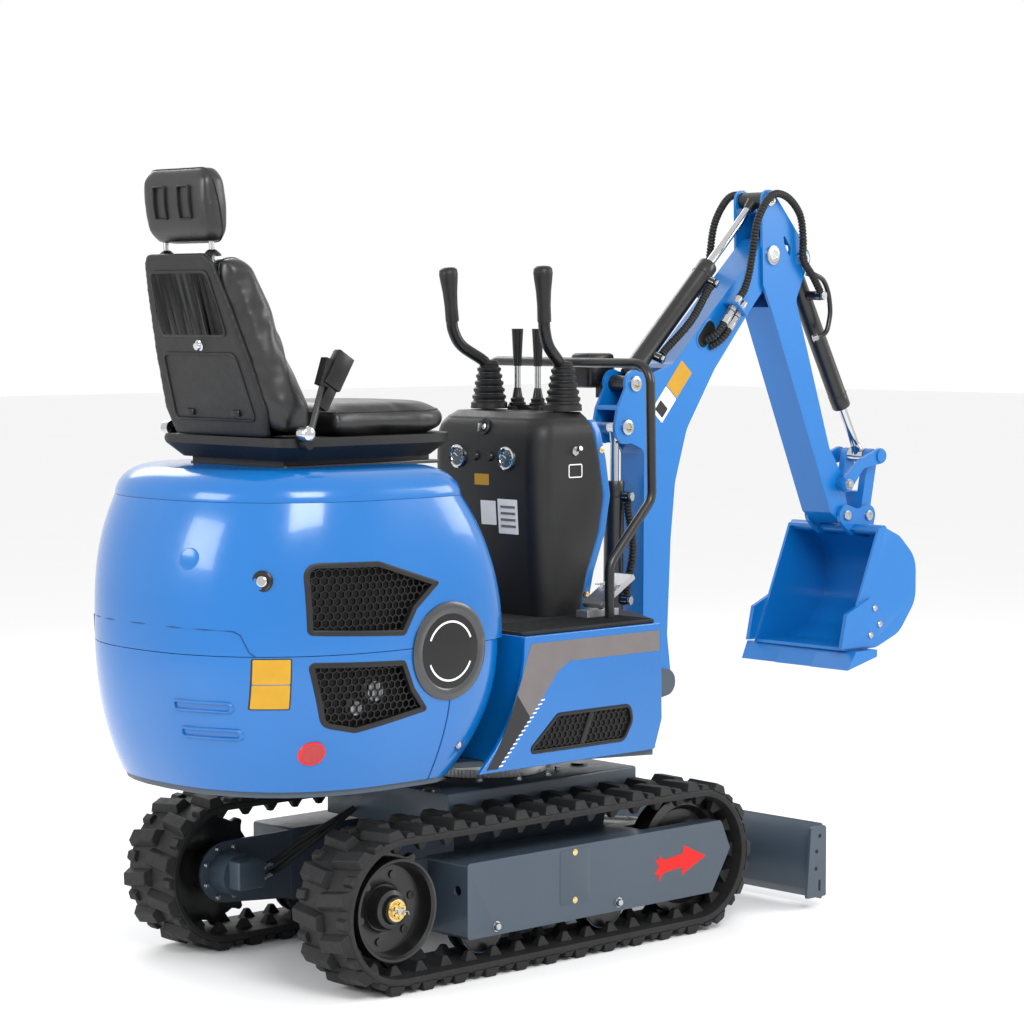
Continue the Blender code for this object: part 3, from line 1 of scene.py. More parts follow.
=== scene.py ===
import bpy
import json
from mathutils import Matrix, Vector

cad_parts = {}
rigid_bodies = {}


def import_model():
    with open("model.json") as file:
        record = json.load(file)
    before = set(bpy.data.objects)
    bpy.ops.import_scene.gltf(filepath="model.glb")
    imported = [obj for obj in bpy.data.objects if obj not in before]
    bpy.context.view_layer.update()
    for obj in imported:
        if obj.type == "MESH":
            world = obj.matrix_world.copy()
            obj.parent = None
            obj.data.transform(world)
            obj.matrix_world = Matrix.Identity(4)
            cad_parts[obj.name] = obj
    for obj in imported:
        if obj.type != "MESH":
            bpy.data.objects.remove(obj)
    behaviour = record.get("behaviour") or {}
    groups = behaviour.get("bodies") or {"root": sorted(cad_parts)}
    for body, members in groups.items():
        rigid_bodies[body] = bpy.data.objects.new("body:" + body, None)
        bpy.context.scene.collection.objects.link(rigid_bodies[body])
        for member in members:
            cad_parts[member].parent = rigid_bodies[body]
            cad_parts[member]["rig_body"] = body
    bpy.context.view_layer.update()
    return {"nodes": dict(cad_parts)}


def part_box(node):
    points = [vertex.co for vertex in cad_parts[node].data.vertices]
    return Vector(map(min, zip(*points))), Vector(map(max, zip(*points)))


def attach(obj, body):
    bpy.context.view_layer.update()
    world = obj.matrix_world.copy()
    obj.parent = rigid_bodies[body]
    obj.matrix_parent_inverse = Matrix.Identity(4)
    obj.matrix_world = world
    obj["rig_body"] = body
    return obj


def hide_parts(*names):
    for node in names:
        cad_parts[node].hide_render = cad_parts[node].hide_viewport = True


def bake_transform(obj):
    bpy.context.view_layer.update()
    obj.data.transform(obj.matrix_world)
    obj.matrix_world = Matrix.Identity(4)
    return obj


bl_info = {
    "name": "Mini Excavator",
    "version": (1, 0, 0),
    "blender": (4, 5, 0),
    "location": "View3D > Sidebar > Excavator",
    "description": "Builds the finished pieces and finishes of a small tracked excavator",
    "category": "Add Mesh",
}

import json
import math

import bmesh
import bpy
from mathutils import Matrix, Vector
from mathutils.bvhtree import BVHTree

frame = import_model()

# The machine's own zero is under the middle of its tracks, and the part's origin is this far ahead of it.
TRACK_CENTRE = 0.3535
HALF_WIDTH = 0.4135
SIDES = ((1, "left"), (-1, "right"))
WELD = 0.00002
FINE_WELD = 0.000005
LOOKS = {}


# ---------------------------------------------------------------- places and small shapes
def at(x, y, z):
    """A point of the machine, measured from the middle of its tracks, in the part's frame."""
    return Vector((x - TRACK_CENTRE, y, z))


def placed(name, data):
    """A new object in the scene."""
    item = bpy.data.objects.new(name, data)
    bpy.context.scene.collection.objects.link(item)
    return item


def mesh_of(name, bm):
    """A bmesh kept as a mesh."""
    mesh = bpy.data.meshes.new(name)
    bm.to_mesh(mesh)
    bm.free()
    return mesh


def finish_piece(name, bm, body, look, sharp=30.0, bevel=0.0, replaces=()):
    """Makes a bmesh into a piece that rides on a body and wears a finish."""
    mesh = mesh_of(name, bm)
    mesh.shade_smooth()
    mesh.set_sharp_from_angle(angle=math.radians(sharp))
    piece = placed(name, mesh)
    looks = look if isinstance(look, (list, tuple)) else [look]
    for one in looks:
        mesh.materials.append(LOOKS[one])
    if bevel:
        edge = piece.modifiers.new("edge", "BEVEL")
        edge.width = bevel
        edge.segments = 2
        edge.limit_method = "ANGLE"
        edge.angle_limit = math.radians(30)
        edge.harden_normals = True
        edge.use_clamp_overlap = True
    if body is not None:
        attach(piece, body)
    if replaces:
        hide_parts(*replaces)
    return piece


def body_of(node):
    """The moving body that a CAD node belongs to."""
    return frame["nodes"][node]["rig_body"]


def refined(node, look, bevel=0.0015, sharp=32.0, name=None):
    """A clean copy of a CAD node with merged corners, soft edges and its finish."""
    bm = bmesh.new()
    bm.from_mesh(frame["nodes"][node].data)
    bmesh.ops.remove_doubles(bm, verts=bm.verts, dist=WELD)
    bmesh.ops.dissolve_limit(bm, angle_limit=math.radians(0.6), verts=bm.verts, edges=bm.edges)
    return finish_piece(name or f"{node}_shell", bm, body_of(node), look, sharp, bevel, (node,))


def basis(direction):
    """A matrix whose Z runs along a direction."""
    return Vector((0.0, 0.0, 1.0)).rotation_difference(Vector(direction)).to_matrix().to_4x4()


def rod(bm, start, end, radius, end_radius=None, segments=24):
    """A round bar or a cone between two points."""
    start = Vector(start)
    end = Vector(end)
    matrix = Matrix.Translation((start + end) / 2) @ basis(end - start)
    radius2 = radius if end_radius is None else end_radius
    return bmesh.ops.create_cone(bm, cap_ends=True, segments=segments, radius1=radius, radius2=radius2,
                                 depth=(end - start).length, matrix=matrix)["verts"]


def block(bm, low, high, bevel=0.0, segments=2, turn=None):
    """A box between two corners, with rounded edges, turned about its own middle."""
    low = Vector(low)
    high = Vector(high)
    made = bmesh.ops.create_cube(bm, size=1.0)["verts"]
    bmesh.ops.scale(bm, vec=high - low, verts=made)
    if bevel:
        edges = list({edge for vert in made for edge in vert.link_edges})
        made = bmesh.ops.bevel(bm, geom=edges, offset=bevel, segments=segments, profile=0.5, affect="EDGES",
                               clamp_overlap=True, material=-1)["verts"]
    if turn is not None:
        bmesh.ops.transform(bm, matrix=turn, verts=made)
    bmesh.ops.translate(bm, vec=(low + high) / 2, verts=made)
    return made


def prism(bm, outline, push, bevel=0.0):
    """A flat outline pushed along a vector, with its rim edges rounded."""
    face = bm.faces.new([bm.verts.new(point) for point in outline])
    made = bmesh.ops.extrude_face_region(bm, geom=[face])["geom"]
    verts = vertices_of(made)
    bmesh.ops.translate(bm, vec=push, verts=verts)
    whole = list(face.verts) + verts
    faces = list({item for vert in whole for item in vert.link_faces})
    bmesh.ops.recalc_face_normals(bm, faces=faces)
    if bevel:
        along = Vector(push).normalized()
        rims = [edge for edge in {edge for vert in whole for edge in vert.link_edges}
                if abs((edge.verts[0].co - edge.verts[1].co).normalized().dot(along)) < 0.5]
        bmesh.ops.bevel(bm, geom=rims, offset=bevel, segments=2, profile=0.5, affect="EDGES",
                        clamp_overlap=True, material=-1)


def lathe(bm, profile, origin, axis, segments=48):
    """Turns (radius, height) pairs about an axis through origin."""
    matrix = Matrix.Translation(Vector(origin)) @ basis(axis)
    verts = [bm.verts.new((radius, 0.0, height)) for radius, height in profile]
    edges = [bm.edges.new(pair) for pair in zip(verts, verts[1:])]
    bmesh.ops.spin(bm, geom=verts + edges, cent=(0, 0, 0), axis=(0, 0, 1), angle=2 * math.pi,
                   steps=segments, use_merge=True, use_duplicate=False)
    whole = set(verts)
    queue = list(verts)
    while queue:
        vert = queue.pop()
        for edge in vert.link_edges:
            other = edge.other_vert(vert)
            if other not in whole:
                whole.add(other)
                queue.append(other)
    bmesh.ops.remove_doubles(bm, verts=list(whole), dist=FINE_WELD)
    whole = [vert for vert in whole if vert.is_valid]
    faces = list({face for vert in whole for face in vert.link_faces})
    bmesh.ops.recalc_face_normals(bm, faces=faces)
    bmesh.ops.transform(bm, matrix=matrix, verts=whole)


def bridged(bm, rings, close=()):
    """Joins each ring of vertices to the next with faces, and the last to those in close."""
    rings = rings + list(close)
    loops = [[bm.edges.get(pair) for pair in zip(ring, ring[1:] + ring[:1])] for ring in rings]
    for first, second in zip(loops, loops[1:]):
        bmesh.ops.bridge_loops(bm, edges=first + second)


def vertices_of(geometry):
    """The vertices among the items that an operator made."""
    return [item for item in geometry if isinstance(item, bmesh.types.BMVert)]


def shaped(maker, *shape, **options):
    """A new bmesh with one shape in it."""
    bm = bmesh.new()
    maker(bm, *shape, **options)
    return bm


def around(centre, radius, angle, y=0.0):
    """The point at a radius and angle about a centre, in the plane across Y, moved y along it."""
    return centre + Vector((radius * math.cos(angle), y, radius * math.sin(angle)))


def bolt(bm, place, axis, size, height=None, washer=True):
    """A hexagon head on its washer, with a slightly raised crown."""
    axis = Vector(axis).normalized()
    place = Vector(place)
    height = height or size * 0.65
    if washer:
        rod(bm, place, place + axis * size * 0.16, size * 1.15, segments=20)
    rod(bm, place, place + axis * height * 0.82, size * 0.90, segments=6)
    rod(bm, place + axis * height * 0.80, place + axis * height, size * 0.84, size * 0.66, segments=6)


def cap_pin(bm, place, axis, radius, height):
    """A round pin's end with a turned edge and a shallow hollow in it."""
    lathe(bm, ((0.0, height * 0.72), (radius * 0.45, height * 0.72), (radius * 0.52, height),
               (radius * 0.86, height), (radius, height * 0.80), (radius, -0.001)), place, axis, 28)


def rounded(points, steps=5):
    """2-D outline whose third number rounds each corner."""
    outline = []
    count = len(points)
    for index, (x, z, radius) in enumerate(points):
        corner = Vector((x, z))
        if radius <= 0:
            outline.append(corner)
            continue
        back = (Vector(points[index - 1][:2]) - corner).normalized()
        ahead = (Vector(points[(index + 1) % count][:2]) - corner).normalized()
        half = back.angle(ahead) / 2
        reach = radius / math.tan(half)
        centre = corner + (back + ahead).normalized() * radius / math.sin(half)
        first = corner + back * reach - centre
        last = corner + ahead * reach - centre
        turn = first.angle_signed(last)
        for step in range(steps + 1):
            spoke = first.copy()
            spoke.rotate(Matrix.Rotation(-turn * step / steps, 2))
            outline.append(centre + spoke)
    return outline


def smooth_route(points, steps=6):
    """Points along one smooth curve through a route's own points."""
    route = [Vector(point) for point in points]
    route = [route[0] * 2 - route[1]] + route + [route[-1] * 2 - route[-2]]
    path = []
    for before, start, end, after in zip(route, route[1:], route[2:], route[3:]):
        for step in range(steps):
            share = step / steps
            path.append(0.5 * (2 * start + (end - before) * share
                               + (2 * before - 5 * start + 4 * end - after) * share ** 2
                               + (3 * start - before - 3 * end + after) * share ** 3))
    return path + [route[-2]]


def even_route(points, gap):
    """The same curve with its points a fixed gap apart."""
    path = smooth_route(points, 16)
    result = [path[0]]
    left = gap
    for start, end in zip(path, path[1:]):
        length = (end - start).length
        done = 0.0
        while length - done >= left:
            done += left
            result.append(start.lerp(end, done / length))
            left = gap
        left -= length - done
    return result


def tube_piece(name, points, radius, body, look, replaces=(), ribs=0.0, ring=4):
    """A tube along points. Ribs make it a spiral-wrapped hose."""
    curve = bpy.data.curves.new(name, "CURVE")
    curve.dimensions = "3D"
    curve.bevel_depth = radius
    curve.bevel_resolution = ring
    curve.use_fill_caps = True
    spline = curve.splines.new("POLY")
    spline.points.add(len(points) - 1)
    for index, (knot, place) in enumerate(zip(spline.points, points)):
        knot.co = (*place, 1.0)
        knot.radius = 1.0 - ribs * (1.0 if index % 4 == 3 else 0.0)
    source = placed(name, curve)
    mesh = bpy.data.meshes.new_from_object(source)
    bpy.data.objects.remove(source, do_unlink=True)
    bpy.data.curves.remove(curve)
    bm = bmesh.new()
    bm.from_mesh(mesh)
    bpy.data.meshes.remove(mesh)
    bmesh.ops.remove_doubles(bm, verts=bm.verts, dist=FINE_WELD)
    bmesh.ops.recalc_face_normals(bm, faces=bm.faces)
    for face in bm.faces:
        face.material_index = 0
    return finish_piece(name, bm, body, look, 50.0, replaces=replaces)


def applied(piece):
    """Makes a piece's live modifiers part of its mesh."""
    graph = bpy.context.evaluated_depsgraph_get()
    mesh = bpy.data.meshes.new_from_object(piece.evaluated_get(graph))
    old = piece.data
    piece.modifiers.clear()
    piece.data = mesh
    bpy.data.meshes.remove(old)
    return piece


# ---------------------------------------------------------------- finishes
def shader(name):
    """A new finish: its material, its node tree and its Principled shader."""
    look = bpy.data.materials.new(name)
    look.use_nodes = True
    tree = look.node_tree
    surface = tree.nodes["Principled BSDF"]
    LOOKS[name] = look
    return look, tree, surface


def coordinates(tree, scale=(1.0, 1.0, 1.0), turn=(0.0, 0.0, 0.0)):
    """Object coordinates, scaled and turned."""
    source = tree.nodes.new("ShaderNodeTexCoord")
    mapping = tree.nodes.new("ShaderNodeMapping")
    mapping.inputs["Scale"].default_value = scale
    mapping.inputs["Rotation"].default_value = turn
    tree.links.new(source.outputs["Object"], mapping.inputs["Vector"])
    return mapping.outputs["Vector"]


def noise(tree, scale, detail=3.0, place=None):
    """Soft random variation at a scale."""
    node = tree.nodes.new("ShaderNodeTexNoise")
    node.inputs["Scale"].default_value = scale
    node.inputs["Detail"].default_value = detail
    tree.links.new(place or coordinates(tree), node.inputs["Vector"])
    return node.outputs["Fac"]


def spread(tree, value, low, high, start=0.3, end=0.7):
    """A value from start to end, stretched to run from low to high."""
    node = tree.nodes.new("ShaderNodeMapRange")
    node.inputs["From Min"].default_value = start
    node.inputs["From Max"].default_value = end
    node.inputs["To Min"].default_value = low
    node.inputs["To Max"].default_value = high
    tree.links.new(value, node.inputs["Value"])
    return node.outputs["Result"]


def blend_colours(tree, value, first, second):
    """A colour between two others."""
    node = tree.nodes.new("ShaderNodeMix")
    node.data_type = "RGBA"
    tree.links.new(value, node.inputs["Factor"])
    node.inputs[6].default_value = (*first, 1.0)
    node.inputs[7].default_value = (*second, 1.0)
    return node.outputs[2]


def relief(tree, surface, height, strength, distance=0.001, under=None):
    """Fine relief from a height, laid over what is under it."""
    node = tree.nodes.new("ShaderNodeBump")
    node.inputs["Strength"].default_value = strength
    node.inputs["Distance"].default_value = distance
    tree.links.new(height, node.inputs["Height"])
    if under is not None:
        tree.links.new(under, node.inputs["Normal"])
    tree.links.new(node.outputs["Normal"], surface.inputs["Normal"])
    return node.outputs["Normal"]


def mottled(tree, surface, scale, first, second, detail=3.0):
    """Drifts the base colour between two others."""
    cloud = spread(tree, noise(tree, scale, detail), 0.0, 1.0)
    tree.links.new(blend_colours(tree, cloud, first, second), surface.inputs["Base Color"])


def uneven(tree, surface, value, low, high):
    """Lets the roughness vary between two limits."""
    tree.links.new(spread(tree, value, low, high), surface.inputs["Roughness"])


def paint(name, colour, roughness, coat, ripple=0.03, shade=0.93, grain=260.0):
    """Sprayed enamel: a faint ripple, faint cloudiness and a clear coat."""
    _, tree, surface = shader(name)
    dark = tuple(part * shade for part in colour)
    mottled(tree, surface, 3.0, colour, dark, 2.0)
    uneven(tree, surface, noise(tree, 40.0), roughness * 0.9, roughness * 1.12)
    surface.inputs["Coat Weight"].default_value = coat
    surface.inputs["Coat Roughness"].default_value = 0.06
    surface.inputs["Specular IOR Level"].default_value = 0.5
    relief(tree, surface, noise(tree, grain, 2.0), ripple, 0.0006)


def moulded(name, colour, roughness, grain, depth, specular=0.35):
    """Moulded plastic or rubber with a pebbled grain."""
    _, tree, surface = shader(name)
    lighter = tuple(min(1.0, part * 1.35 + 0.001) for part in colour)
    mottled(tree, surface, 9.0, colour, lighter)
    uneven(tree, surface, noise(tree, 60.0), roughness * 0.9, min(1.0, roughness * 1.12))
    surface.inputs["Specular IOR Level"].default_value = specular
    cells = tree.nodes.new("ShaderNodeTexVoronoi")
    cells.inputs["Scale"].default_value = grain
    tree.links.new(coordinates(tree), cells.inputs["Vector"])
    relief(tree, surface, cells.outputs["Distance"], depth, 0.0008)


def metal(name, colour, roughness, brush=0.02, grain=220.0, stretch=(1.0, 1.0, 1.0), metallic=1.0):
    """Plated, turned or cast metal."""
    _, tree, surface = shader(name)
    dark = tuple(part * 0.86 for part in colour)
    place = coordinates(tree, stretch)
    mottled(tree, surface, 14.0, colour, dark)
    uneven(tree, surface, noise(tree, grain, 3.0, place), roughness * 0.8, roughness * 1.25)
    surface.inputs["Metallic"].default_value = metallic
    relief(tree, surface, noise(tree, grain, 3.0, place), brush, 0.0005)


def printed(name, colour, roughness=0.40, coat=0.08):
    """A flat decal or a painted mark."""
    _, tree, surface = shader(name)
    worn = tuple(part * 0.92 for part in colour)
    mottled(tree, surface, 30.0, colour, worn)
    uneven(tree, surface, noise(tree, 120.0), roughness * 0.9, roughness * 1.1)
    surface.inputs["Specular IOR Level"].default_value = 0.25
    surface.inputs["Coat Weight"].default_value = coat
    relief(tree, surface, noise(tree, 500.0), 0.02, 0.0003)


def lens(name, colour):
    """A moulded reflector lens with its fine crossed prisms."""
    _, tree, surface = shader(name)
    place = coordinates(tree, (1.0, 1.0, 1.0), (0.0, 0.785, 0.0))
    waves = tree.nodes.new("ShaderNodeTexChecker")
    waves.inputs["Scale"].default_value = 420.0
    tree.links.new(place, waves.inputs["Vector"])
    dark = tuple(part * 0.45 for part in colour)
    tree.links.new(blend_colours(tree, waves.outputs["Fac"], colour, dark), surface.inputs["Base Color"])
    surface.inputs["Roughness"].default_value = 0.25
    surface.inputs["Coat Weight"].default_value = 0.6
    relief(tree, surface, waves.outputs["Fac"], 0.4, 0.0006)


def vinyl(name):
    """Smooth seat vinyl with a fine leather grain and soft creases."""
    _, tree, surface = shader(name)
    mottled(tree, surface, 12.0, (0.005, 0.005, 0.0055), (0.009, 0.009, 0.0095))
    uneven(tree, surface, noise(tree, 25.0), 0.30, 0.44)
    surface.inputs["Coat Weight"].default_value = 0.15
    surface.inputs["Coat Roughness"].default_value = 0.3
    cells = tree.nodes.new("ShaderNodeTexVoronoi")
    cells.inputs["Scale"].default_value = 520.0
    tree.links.new(coordinates(tree), cells.inputs["Vector"])
    fine = relief(tree, surface, cells.outputs["Distance"], 0.10, 0.0006)
    relief(tree, surface, noise(tree, 22.0, 4.0), 0.10, 0.004, fine)


def build_finishes(settings):
    """Every finish of the machine."""
    paint("azure_enamel", tuple(settings.body_colour), 0.22, 0.35)
    paint("boom_enamel", tuple(settings.boom_colour), 0.32, 0.20, 0.04)
    paint("slate_enamel", tuple(settings.slate_colour), 0.42, 0.10, 0.06, 0.88)
    paint("black_enamel", (0.006, 0.006, 0.0065), 0.34, 0.15, 0.04)
    paint("grey_dish", (0.035, 0.036, 0.038), 0.30, 0.35, 0.04)
    moulded("grained_plastic", (0.007, 0.007, 0.0075), 0.42, 700.0, 0.22)
    moulded("smooth_plastic", (0.005, 0.005, 0.0055), 0.30, 900.0, 0.05)
    moulded("shell_plastic", (0.0075, 0.0075, 0.008), 0.46, 420.0, 0.40)
    moulded("track_rubber", (0.008, 0.008, 0.0085), 0.62, 260.0, 0.30, 0.35)
    moulded("boot_rubber", (0.006, 0.006, 0.0065), 0.50, 500.0, 0.10)
    moulded("mat_rubber", (0.010, 0.010, 0.0105), 0.66, 360.0, 0.60)
    moulded("hose_wrap", (0.009, 0.009, 0.009), 0.55, 400.0, 0.18)
    # A near-black finish that paints shade: dark sheets and discs standing in for the shade inside holes,
    # slots and behind grilles.
    moulded("deep_black", (0.002, 0.002, 0.002), 0.60, 300.0, 0.10)
    vinyl("seat_vinyl")
    metal("bright_chrome", (0.60, 0.61, 0.62), 0.09, 0.004)
    metal("zinc_plate", (0.50, 0.51, 0.52), 0.26, 0.03)
    metal("turned_steel", (0.50, 0.51, 0.52), 0.30, 0.05, 300.0, (1.0, 1.0, 4.0))
    metal("cast_metal", (0.42, 0.42, 0.43), 0.42, 0.25, 380.0, metallic=0.85)
    metal("brass", (0.78, 0.60, 0.25), 0.24, 0.03)
    printed("stripe_grey", (0.15, 0.135, 0.135))
    printed("stripe_black", (0.02, 0.02, 0.022))
    printed("sticker_yellow", (0.50, 0.27, 0.018))
    printed("sticker_white", (0.82, 0.82, 0.80))
    printed("decal_red", (0.62, 0.006, 0.004))
    # A dark blue for the panels' seam joints, and painted shade in the dimple around the lower cover's bolt.
    printed("seam_line", (0.004, 0.055, 0.20), 0.5, 0.0)
    printed("gauge_face", (0.015, 0.05, 0.085), 0.12, 0.8)
    printed("cap_red", (0.70, 0.01, 0.01), 0.3, 0.3)
    lens("reflector_red", (0.50, 0.006, 0.008))


# ---------------------------------------------------------------- stage
def build_stage(settings):
    """Floor, soft lights and the camera."""
    scene = bpy.context.scene
    bm = bmesh.new()
    bmesh.ops.create_grid(bm, x_segments=2, y_segments=2, size=40.0)
    floor = placed("studio_floor", mesh_of("studio_floor", bm))
    look, tree, surface = shader("floor_paint")
    tree.links.new(blend_colours(tree, noise(tree, 2.0), (0.90, 0.90, 0.90), (0.92, 0.92, 0.92)),
                   surface.inputs["Base Color"])
    surface.inputs["Roughness"].default_value = 0.7
    surface.inputs["Specular IOR Level"].default_value = 0.2
    floor.data.materials.append(look)

    world = bpy.data.worlds.new("studio")
    world.use_nodes = True
    world.node_tree.nodes["Background"].inputs["Color"].default_value = (1.0, 1.0, 1.0, 1.0)
    world.node_tree.nodes["Background"].inputs["Strength"].default_value = settings.sky_strength
    scene.world = world
    scene.view_settings.view_transform = "Standard"

    for name, place, size, power in (("key_light", (-2.2, -4.6, 4.2), 2.6, settings.key_power),
                                     ("side_light", (-5.2, 1.0, 2.6), 2.2, settings.key_power * 0.45),
                                     ("front_light", (4.0, -3.0, 3.0), 2.4, settings.key_power * 0.40),
                                     ("back_light", (1.0, 4.5, 4.0), 3.0, settings.key_power * 0.40)):
        data = bpy.data.lights.new(name, "AREA")
        data.shape = "RECTANGLE"
        data.size = size
        data.size_y = size * 0.8
        data.energy = power
        lamp = placed(name, data)
        lamp.location = place
        lamp.rotation_mode = "QUATERNION"
        lamp.rotation_quaternion = (Vector((-0.1, 0.0, 0.9)) - Vector(place)).to_track_quat("-Z", "Y")

    data = bpy.data.cameras.new("view_camera")
    data.sensor_width = 36.0
    data.lens = settings.lens_mm
    data.clip_end = 200.0
    camera = placed("view_camera", data)
    camera.location = (-5.15761, -5.33859, 1.54787)
    camera.rotation_euler = (math.radians(90.0 - 3.915), 0.0, math.radians(46.677 - 90.0))
    scene.camera = camera


# ---------------------------------------------------------------- undercarriage
AXLE_X = 0.489
AXLE_Z = 0.191
BELT_RADIUS = 0.1708
BELT_INNER = 0.1488
TRACK_Y = 0.3235
BELT_LENGTH = 4 * AXLE_X + 2 * math.pi * BELT_RADIUS


def belt_place(distance, offset):
    """Point, forward direction and outward direction on the belt's outer line."""
    straight = 2 * AXLE_X
    bend = math.pi * BELT_RADIUS
    distance %= BELT_LENGTH
    if distance < straight:
        centre, angle = (AXLE_X - distance, AXLE_Z), math.pi / 2
    elif distance < straight + bend:
        centre, angle = (-AXLE_X, AXLE_Z), math.pi / 2 + (distance - straight) / BELT_RADIUS
    elif distance < 2 * straight + bend:
        centre, angle = (-AXLE_X + distance - straight - bend, AXLE_Z), -math.pi / 2
    else:
        centre, angle = (AXLE_X, AXLE_Z), -math.pi / 2 + (distance - 2 * straight - bend) / BELT_RADIUS
    out = Vector((math.cos(angle), 0.0, math.sin(angle)))
    ahead = Vector((-math.sin(angle), 0.0, math.cos(angle)))
    return at(centre[0], 0.0, centre[1]) + out * (BELT_RADIUS + offset), ahead, out


def tread_block(bm, distance, offset, low_y, high_y, length, height, taper, skew=0.0):
    """One trapezoid rubber block standing on the belt."""
    point, ahead, out = belt_place(distance, offset)
    made = bmesh.ops.create_cube(bm, size=1.0)["verts"]
    for vert in made:
        top = vert.co.z > 0
        shrink = taper if top else 1.0
        vert.co.x *= length * shrink
        vert.co.x += skew * (vert.co.y * 2.0)
        vert.co.y *= (high_y - low_y) * (1.0 - (1.0 - shrink) * 0.35)
        vert.co.z *= height
    middle = (low_y + high_y) / 2
    turn = Matrix((ahead, Vector((0.0, 1.0, 0.0)), out)).transposed().to_4x4()
    if turn.determinant() < 0:
        turn = Matrix((-ahead, Vector((0.0, 1.0, 0.0)), out)).transposed().to_4x4()
    place = Matrix.Translation(point + Vector((0.0, middle, 0.0)) + out * (height / 2)) @ turn
    bmesh.ops.transform(bm, matrix=place, verts=made)


BELT_SEGMENTS = 132
SHOES = 31
DRIVE_LUGS = 39
SPROCKET_TEETH = 11
SINK = -0.002
# length, height and taper of the belt's two kinds of block
LONG_BLOCK = (0.047, 0.0215, 0.62)
SHORT_BLOCK = (0.030, 0.012, 0.60)


def build_track(side, word):
    """Rubber belt with staggered outer blocks and inner drive lugs."""
    bm = bmesh.new()
    count = BELT_SEGMENTS
    rings = []
    for edge_y, offset in ((-0.086, 0.0), (-0.090, -0.006), (-0.088, -0.018), (-0.030, -0.021),
                           (0.030, -0.021), (0.088, -0.018), (0.090, -0.006), (0.086, 0.0)):
        ring = bmesh.ops.create_circle(bm, segments=count, radius=1.0)["verts"]
        for index, vert in enumerate(ring):
            point, _, _ = belt_place(BELT_LENGTH * index / count, offset)
            vert.co = point + Vector((0.0, side * (TRACK_Y + edge_y), 0.0))
        rings.append(ring)
    bridged(bm, rings, rings[:1])
    bmesh.ops.recalc_face_normals(bm, faces=bm.faces)
    pitch = BELT_LENGTH / SHOES
    for shoe in range(SHOES):
        start = (shoe + 0.325) * pitch
        for place, low, high, size, skew in ((start, -0.090, 0.006, LONG_BLOCK, 0.006),
                                             (start + pitch / 2, -0.006, 0.090, LONG_BLOCK, -0.006),
                                             (start + pitch / 2, -0.090, -0.056, SHORT_BLOCK, 0.0),
                                             (start, 0.056, 0.090, SHORT_BLOCK, 0.0)):
            tread_block(bm, place, SINK, side * TRACK_Y + low, side * TRACK_Y + high, *size, skew * side)
    for lug in range(DRIVE_LUGS):
        for middle in (-0.044, 0.044):
            point, ahead, out = belt_place((lug + 0.5) * BELT_LENGTH / DRIVE_LUGS, -0.020)
            base = point + Vector((0.0, side * TRACK_Y + middle, 0.0))
            made = bmesh.ops.create_cube(bm, size=1.0)["verts"]
            for vert in made:
                low = vert.co.z < 0
                vert.co.x *= 0.012 if low else 0.040
                vert.co.y *= 0.012 if low else 0.026
                vert.co.z *= 0.024
            turn = Matrix((-ahead, Vector((0.0, 1.0, 0.0)), out)).transposed().to_4x4()
            if turn.determinant() < 0:
                turn = Matrix((ahead, Vector((0.0, 1.0, 0.0)), out)).transposed().to_4x4()
            bmesh.ops.transform(bm, matrix=Matrix.Translation(base - out * 0.011) @ turn, verts=made)
    finish_piece(f"belt_{word}", bm, "undercarriage", "track_rubber", 30, 0.0022, (f"track_{word}",))


def build_sprocket(side, word):
    """Toothed ring with a dished disc, its hub, castle nut and split pin."""
    hub = at(-AXLE_X, side * TRACK_Y, AXLE_Z)
    out = Vector((0.0, side, 0.0))
    bm = bmesh.new()
    outline = []
    for tooth in range(SPROCKET_TEETH):
        for share, radius in ((0.0, 0.127), (0.22, 0.127), (0.34, 0.134), (0.42, 0.145), (0.50, 0.147),
                              (0.58, 0.145), (0.66, 0.134), (0.78, 0.127)):
            angle = 2 * math.pi * (tooth + share) / SPROCKET_TEETH
            outline.append(around(hub, radius, angle, -0.011))
    prism(bm, outline, (0.0, 0.022, 0.0), 0.0015)
    lathe(bm, ((0.0, 0.010), (0.052, 0.010), (0.062, 0.016), (0.100, 0.020), (0.106, 0.030), (0.107, 0.056),
               (0.112, 0.063), (0.118, 0.062), (0.119, 0.052), (0.119, 0.0)), hub, out, 72)
    lathe(bm, ((0.050, 0.012), (0.048, 0.034), (0.044, 0.042), (0.034, 0.046), (0.030, 0.056), (0.0, 0.056)),
          hub, out, 48)
    for index in range(6):
        angle = 2 * math.pi * (index + 0.25) / 6
        spot = around(hub, 0.078, angle, side * 0.016)
        rod(bm, spot, spot + out * 0.006, 0.010, 0.009)
    rod(bm, hub - out * 0.060, hub, 0.062)
    finish_piece(f"drive_wheel_{word}", bm, "undercarriage", "black_enamel", 30, 0.0, (f"sprocket_{word}",))
    bm = bmesh.new()
    nut = hub + out * 0.056
    rod(bm, nut, nut + out * 0.004, 0.026, segments=32)
    rod(bm, nut + out * 0.003, nut + out * 0.010, 0.0215, segments=6)
    for index in range(6):
        angle = 2 * math.pi * (index + 0.5) / 6
        spot = around(nut, 0.0145, angle, side * 0.009)
        rod(bm, spot, spot + out * 0.0065, 0.0046, 0.0038, 10)
    finish_piece(f"castle_nut_{word}", bm, "undercarriage", "brass", 30, 0.0006)
    bm = bmesh.new()
    rod(bm, nut + Vector((-0.024, side * 0.012, 0.004)), nut + Vector((0.026, side * 0.012, -0.004)), 0.0016,
        segments=10)
    rod(bm, nut + Vector((0.026, side * 0.012, -0.004)), nut + Vector((0.030, side * 0.010, -0.012)), 0.0016,
        segments=10)
    rod(bm, nut + out * 0.004, nut + out * 0.0145, 0.0085, 0.0075, 20)
    finish_piece(f"split_pin_{word}", bm, "undercarriage", "zinc_plate")


